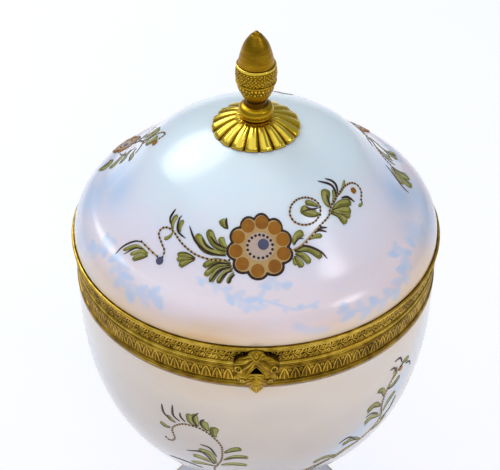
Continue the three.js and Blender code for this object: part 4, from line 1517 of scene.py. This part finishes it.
def side_spray(spray):
    """A spray that runs down the side of the lid, with its flower low on the shoulder."""
    spray.fullness = SIDE_LEAF_FULLNESS
    spray.draw(
        stems=[
            [(3.0, -8.0), (7.6, 0.4), (13.0, 6.4), (17.8, 10.2), (17.8, 15.0), (18.6, 19.6),
             (22.0, 21.0), (24.2, 18.0)],
            [(-6.0, -6.0), (-14.0, 4.6), (-19.3, 1.9), (-23.2, 2.9), (-27.4, 1.0), (-29.6, -2.8),
             (-33.0, -4.0)],
        ],
        leaves=[
            (19.0, 12.4, 21.4, 13.6, 21.8, 18.4, 3.0), (9.6, 5.0, 11.4, 10.2, 12.8, 16.6, 2.8),
            (13.0, 6.0, 15.6, 12.0, 14.6, 17.6, 2.4), (10.9, -2.7, 14.0, -2.0, 18.6, -3.5, 3.0),
            (10.7, -12.9, 13.6, -12.4, 16.5, -15.4, 2.8), (9.4, -6.0, 13.6, -7.0, 17.4, -10.0, 2.8),
            (16.0, 5.0, 19.0, 3.4, 23.6, 4.6, 2.4), (-14.3, -4.9, -18.0, -7.4, -20.7, -11.8, 2.8),
            (-17.3, -7.4, -17.6, -9.6, -16.4, -13.0, 2.4), (-21.4, 2.0, -23.8, -1.0, -23.1, -7.3, 2.6),
            (-30.4, -2.9, -33.0, -3.4, -36.6, -7.6, 3.2), (-29.8, -2.9, -31.0, -7.0, -30.0, -12.0, 3.2),
            (-30.2, -2.9, -33.4, -7.0, -35.0, -12.0, 3.0), (-9.0, -1.0, -12.6, -1.6, -16.4, 0.0, 2.4),
        ],
        darks=[
            (21.6, 5.8, 18.8, 8.4, 14.0, 8.4, 0.8), (8.0, -11.2, 12.6, -4.4, 13.7, 3.1, 0.8),
            (6.0, -4.0, 6.6, 3.0, 10.4, 9.4, 0.8), (4.0, -4.0, 2.6, 3.0, 5.4, 10.0, 0.7),
            (-33.1, 1.9, -34.4, -1.2, -38.0, -6.2, -39.3, -9.8, 0.8),
            (-16.0, 3.4, -20.6, 6.4, -26.0, 6.2, 0.7), (-10.0, -4.6, -16.8, -6.7, -23.1, -6.3, 0.7),
            (-24.0, 2.0, -26.4, -3.0, -26.0, -7.4, 0.6),
        ],
    )
    spray.dab((25.6, 17.4), 1.2, OCHRE, base=0.16)
    spray.flower((2.0, -13.0), 0.55)


def bowl_spray(spray):
    """The bowl's spray: a low flower with a hooked stem on its left and a long stem on its right."""
    spray.draw(
        stems=[
            [(-15.2, -47.2), (-13.2, -42.2), (-12.4, -36.4), (-12.8, -31.6), (-16.5, -26.2), (-20.9, -23.8),
             (-26.7, -24.2), (-31.2, -28.8), (-31.0, -35.0), (-33.4, -37.8), (-35.1, -36.7)],
            [(-15.2, -47.2), (-17.0, -52.0), (-15.0, -57.0)],
        ],
        long_stems=[
            [(2.0, -62.0), (14.0, -60.0), (24.8, -53.0), (34.7, -48.9), (43.0, -46.0), (49.0, -43.0),
             (52.6, -38.2), (51.4, -32.5), (50.8, -27.8), (51.8, -22.4), (54.6, -17.6), (59.0, -14.4)],
        ],
        leaves=[
            (-31.7, -28.7, -34.0, -29.0, -36.6, -28.0, 2.3),
            (-29.2, -24.7, -31.1, -23.8, -32.8, -22.0, 2.0),
            (-21.4, -23.6, -23.4, -21.3, -23.9, -17.1, 2.8),
            (-20.6, -23.3, -21.2, -20.4, -21.8, -16.4, 2.3),
            (-16.8, -24.8, -18.1, -22.1, -18.8, -19.3, 3.6),
            (-14.2, -27.4, -15.0, -25.4, -14.5, -21.4, 3.4),
            (-11.9, -36.7, -8.5, -33.9, -5.1, -32.6, 2.8), (-12.5, -42.0, -7.7, -38.5, -2.6, -38.4, 2.6),
            (-13.9, -46.7, -9.0, -44.2, -3.1, -44.3, 2.5),
            (-15.4, -46.1, -17.4, -38.9, -21.9, -37.2, 2.9),
            (-15.6, -46.8, -19.9, -43.9, -24.9, -43.0, 2.9),
            (-16.0, -48.6, -22.0, -48.6, -27.0, -50.6, 2.6),
            (50.6, -29.1, 46.4, -25.6, 43.4, -27.7, 3.4), (52.0, -36.1, 46.6, -32.6, 43.4, -34.6, 3.2),
            (53.0, -34.5, 55.2, -29.8, 58.6, -26.8, 3.0), (51.4, -24.6, 50.0, -20.4, 47.0, -18.4, 2.6),
            (54.3, -18.3, 55.9, -16.4, 56.0, -12.6, 2.4), (59.0, -15.0, 61.6, -13.6, 65.0, -15.0, 2.6),
            (52.4, -21.4, 56.0, -21.6, 60.0, -19.6, 2.6), (44.1, -45.1, 39.0, -41.2, 34.7, -42.4, 3.0),
            (44.4, -46.8, 38.0, -47.4, 32.5, -52.4, 2.6), (34.3, -49.7, 28.0, -47.4, 23.4, -49.5, 2.8),
            (24.0, -53.6, 21.0, -58.6, 17.0, -60.6, 2.6), (49.0, -43.4, 53.4, -43.4, 57.4, -40.0, 2.8),
        ],
        darks=[
            (-31.4, -24.0, -34.0, -21.5, -34.5, -16.9, 0.8),
            (-27.3, -23.3, -30.1, -20.9, -30.0, -15.2, 0.8),
            (-25.2, -22.8, -27.1, -20.5, -27.2, -17.9, 0.7),
            (-20.9, -23.8, -22.5, -19.6, -20.1, -15.5, 0.7),
            (-19.0, -23.8, -19.6, -20.2, -17.9, -18.3, 0.7),
            (-11.9, -41.8, -8.8, -39.2, -3.1, -37.9, 0.5),
            (-14.6, -40.7, -17.0, -34.9, -21.0, -33.7, 0.75),
            (-16.2, -46.5, -20.3, -39.2, -27.3, -41.0, 0.75),
            (-21.9, -53.8, -30.2, -52.4, -38.4, -54.2, 0.8),
            (50.6, -33.3, 46.0, -30.0, 42.9, -30.6, 0.6), (53.6, -40.4, 58.4, -37.0, 60.2, -30.5, 0.8),
            (56.5, -15.6, 55.2, -12.5, 52.3, -11.8, 0.8), (60.0, -13.6, 58.3, -9.8, 54.6, -9.2, 0.8),
            (62.4, -15.8, 66.0, -17.6, 67.4, -20.7, 0.7), (42.4, -44.4, 37.0, -38.4, 32.4, -40.0, 0.7),
            (32.0, -51.4, 26.0, -54.8, 24.0, -60.0, 0.7),
        ],
    )
    spray.dab((59.4, -15.8), 1.2, OCHRE, base=0.16)
    spray.flower((-8.0, -63.5), 0.78)


def paint_piece(name, body, sprays):
    """Joins the strokes of several sprays on one glass into one piece."""
    points, faces, paints, tones, start = [], [], [], [], 0
    for spray in sprays:
        points += spray.points
        faces += [[i + start for i in face] for face in spray.faces]
        paints += spray.paints
        tones += spray.tones
        start += spray.count
    tone = np.concatenate(tones)
    new_piece(name, np.vstack(points), faces, PAINTS, body, "opaline", 20, which=paints, tone=tone)


def drawn(drawing, glass, turn, down=0.0):
    spray = Spray(glass, turn, down)
    drawing(spray)
    return spray


def make_sprays():
    dome = Glass(dome_line(PAINTED_STEPS))
    sprays = [drawn(lid_spray, dome, LID_SPRAY_TURN, LID_SPRAY_DOWN)]
    for turn in SIDE_SPRAY_TURNS:
        sprays.append(drawn(side_spray, dome, LID_SPRAY_TURN + turn, SIDE_SPRAY_DOWN))
    paint_piece("lid_painted_sprays", "lid", sprays)
    bowl = Glass(bulge(BOWL_RADIUS, BOWL_DEPTH, BOWL_SHOULDER, STEM_TOP_RADIUS, 500))
    sprays = [drawn(bowl_spray, bowl, turn) for turn in BOWL_SPRAY_TURNS]
    paint_piece("bowl_painted_sprays", "base", sprays)


# Studio
def make_floor():
    mesh = bpy.data.meshes.new("floor")
    corners = [(x * FLOOR_HALF, y * FLOOR_HALF, 0) for x, y in ((-1, -1), (1, -1), (1, 1), (-1, 1))]
    mesh.from_pydata(corners, [], [(0, 1, 2, 3)])
    floor = bpy.data.objects.new("floor", mesh)
    bpy.context.scene.collection.objects.link(floor)
    material, tree, shader = new_material("floor_paper")
    fill(tree, shader, {
        "Base Color": mixed(tree, noise(tree, 3.0), (0.53, 0.53, 0.56), (0.57, 0.57, 0.59)),
        "Roughness": 0.9,
        "Emission Color": (0.965, 0.955, 1.0, 1),
        "Emission Strength": 0.54,
    })
    mesh.materials.append(material)


def softbox(name, azimuth, elevation, distance, wide, tall, power, colour, shape, glossy):
    """An area light that points at the box."""
    data = bpy.data.lights.new(name, "AREA")
    data.shape = shape
    data.size, data.size_y = wide, tall
    data.energy, data.color = power, colour
    light = bpy.data.objects.new(name, data)
    bpy.context.scene.collection.objects.link(light)
    a, e = math.radians(azimuth), math.radians(elevation)
    away = Vector((math.cos(a) * math.cos(e), math.sin(a) * math.cos(e), math.sin(e)))
    light.location = Vector((0, 0, (SEAM + LIGHTS_AIM) * MM)) + away * distance
    light.rotation_mode = "QUATERNION"
    light.rotation_quaternion = (-away).to_track_quat("-Z", "Y")
    light.visible_glossy = glossy


def make_lights():
    for light in LIGHTS:
        softbox(*light)
    world = bpy.context.scene.world or bpy.data.worlds.new("studio")
    bpy.context.scene.world = world
    world.use_nodes = True
    background = world.node_tree.nodes["Background"]
    background.inputs[0].default_value = (*ROOM_COLOUR, 1)
    background.inputs[1].default_value = ROOM_STRENGTH


def make_camera():
    """The photograph's view: from the front, looking down at about 40 degrees."""
    data = bpy.data.cameras.new("camera")
    data.lens, data.sensor_width = LENS, SENSOR
    data.clip_start, data.clip_end = 0.01, 20.0
    camera = bpy.data.objects.new("camera", data)
    bpy.context.scene.collection.objects.link(camera)
    camera.location = Vector(CAMERA_PLACE) * MM
    target = Vector(CAMERA_AIM) * MM
    camera.rotation_mode = "QUATERNION"
    camera.rotation_quaternion = (target - camera.location).to_track_quat("-Z", "Y")
    bpy.context.scene.camera = camera


make_camera()
make_lights()
make_floor()
make_lid_glass()
make_bowl_glass()
make_foot_gilding()
make_lid_rim()
make_body_rim()
make_finial()
make_rosette()
make_nut()
make_clasp()
make_hinge_halves()
make_hinge_pin()
make_sprays()
bpy.context.scene.view_settings.view_transform = "Standard"
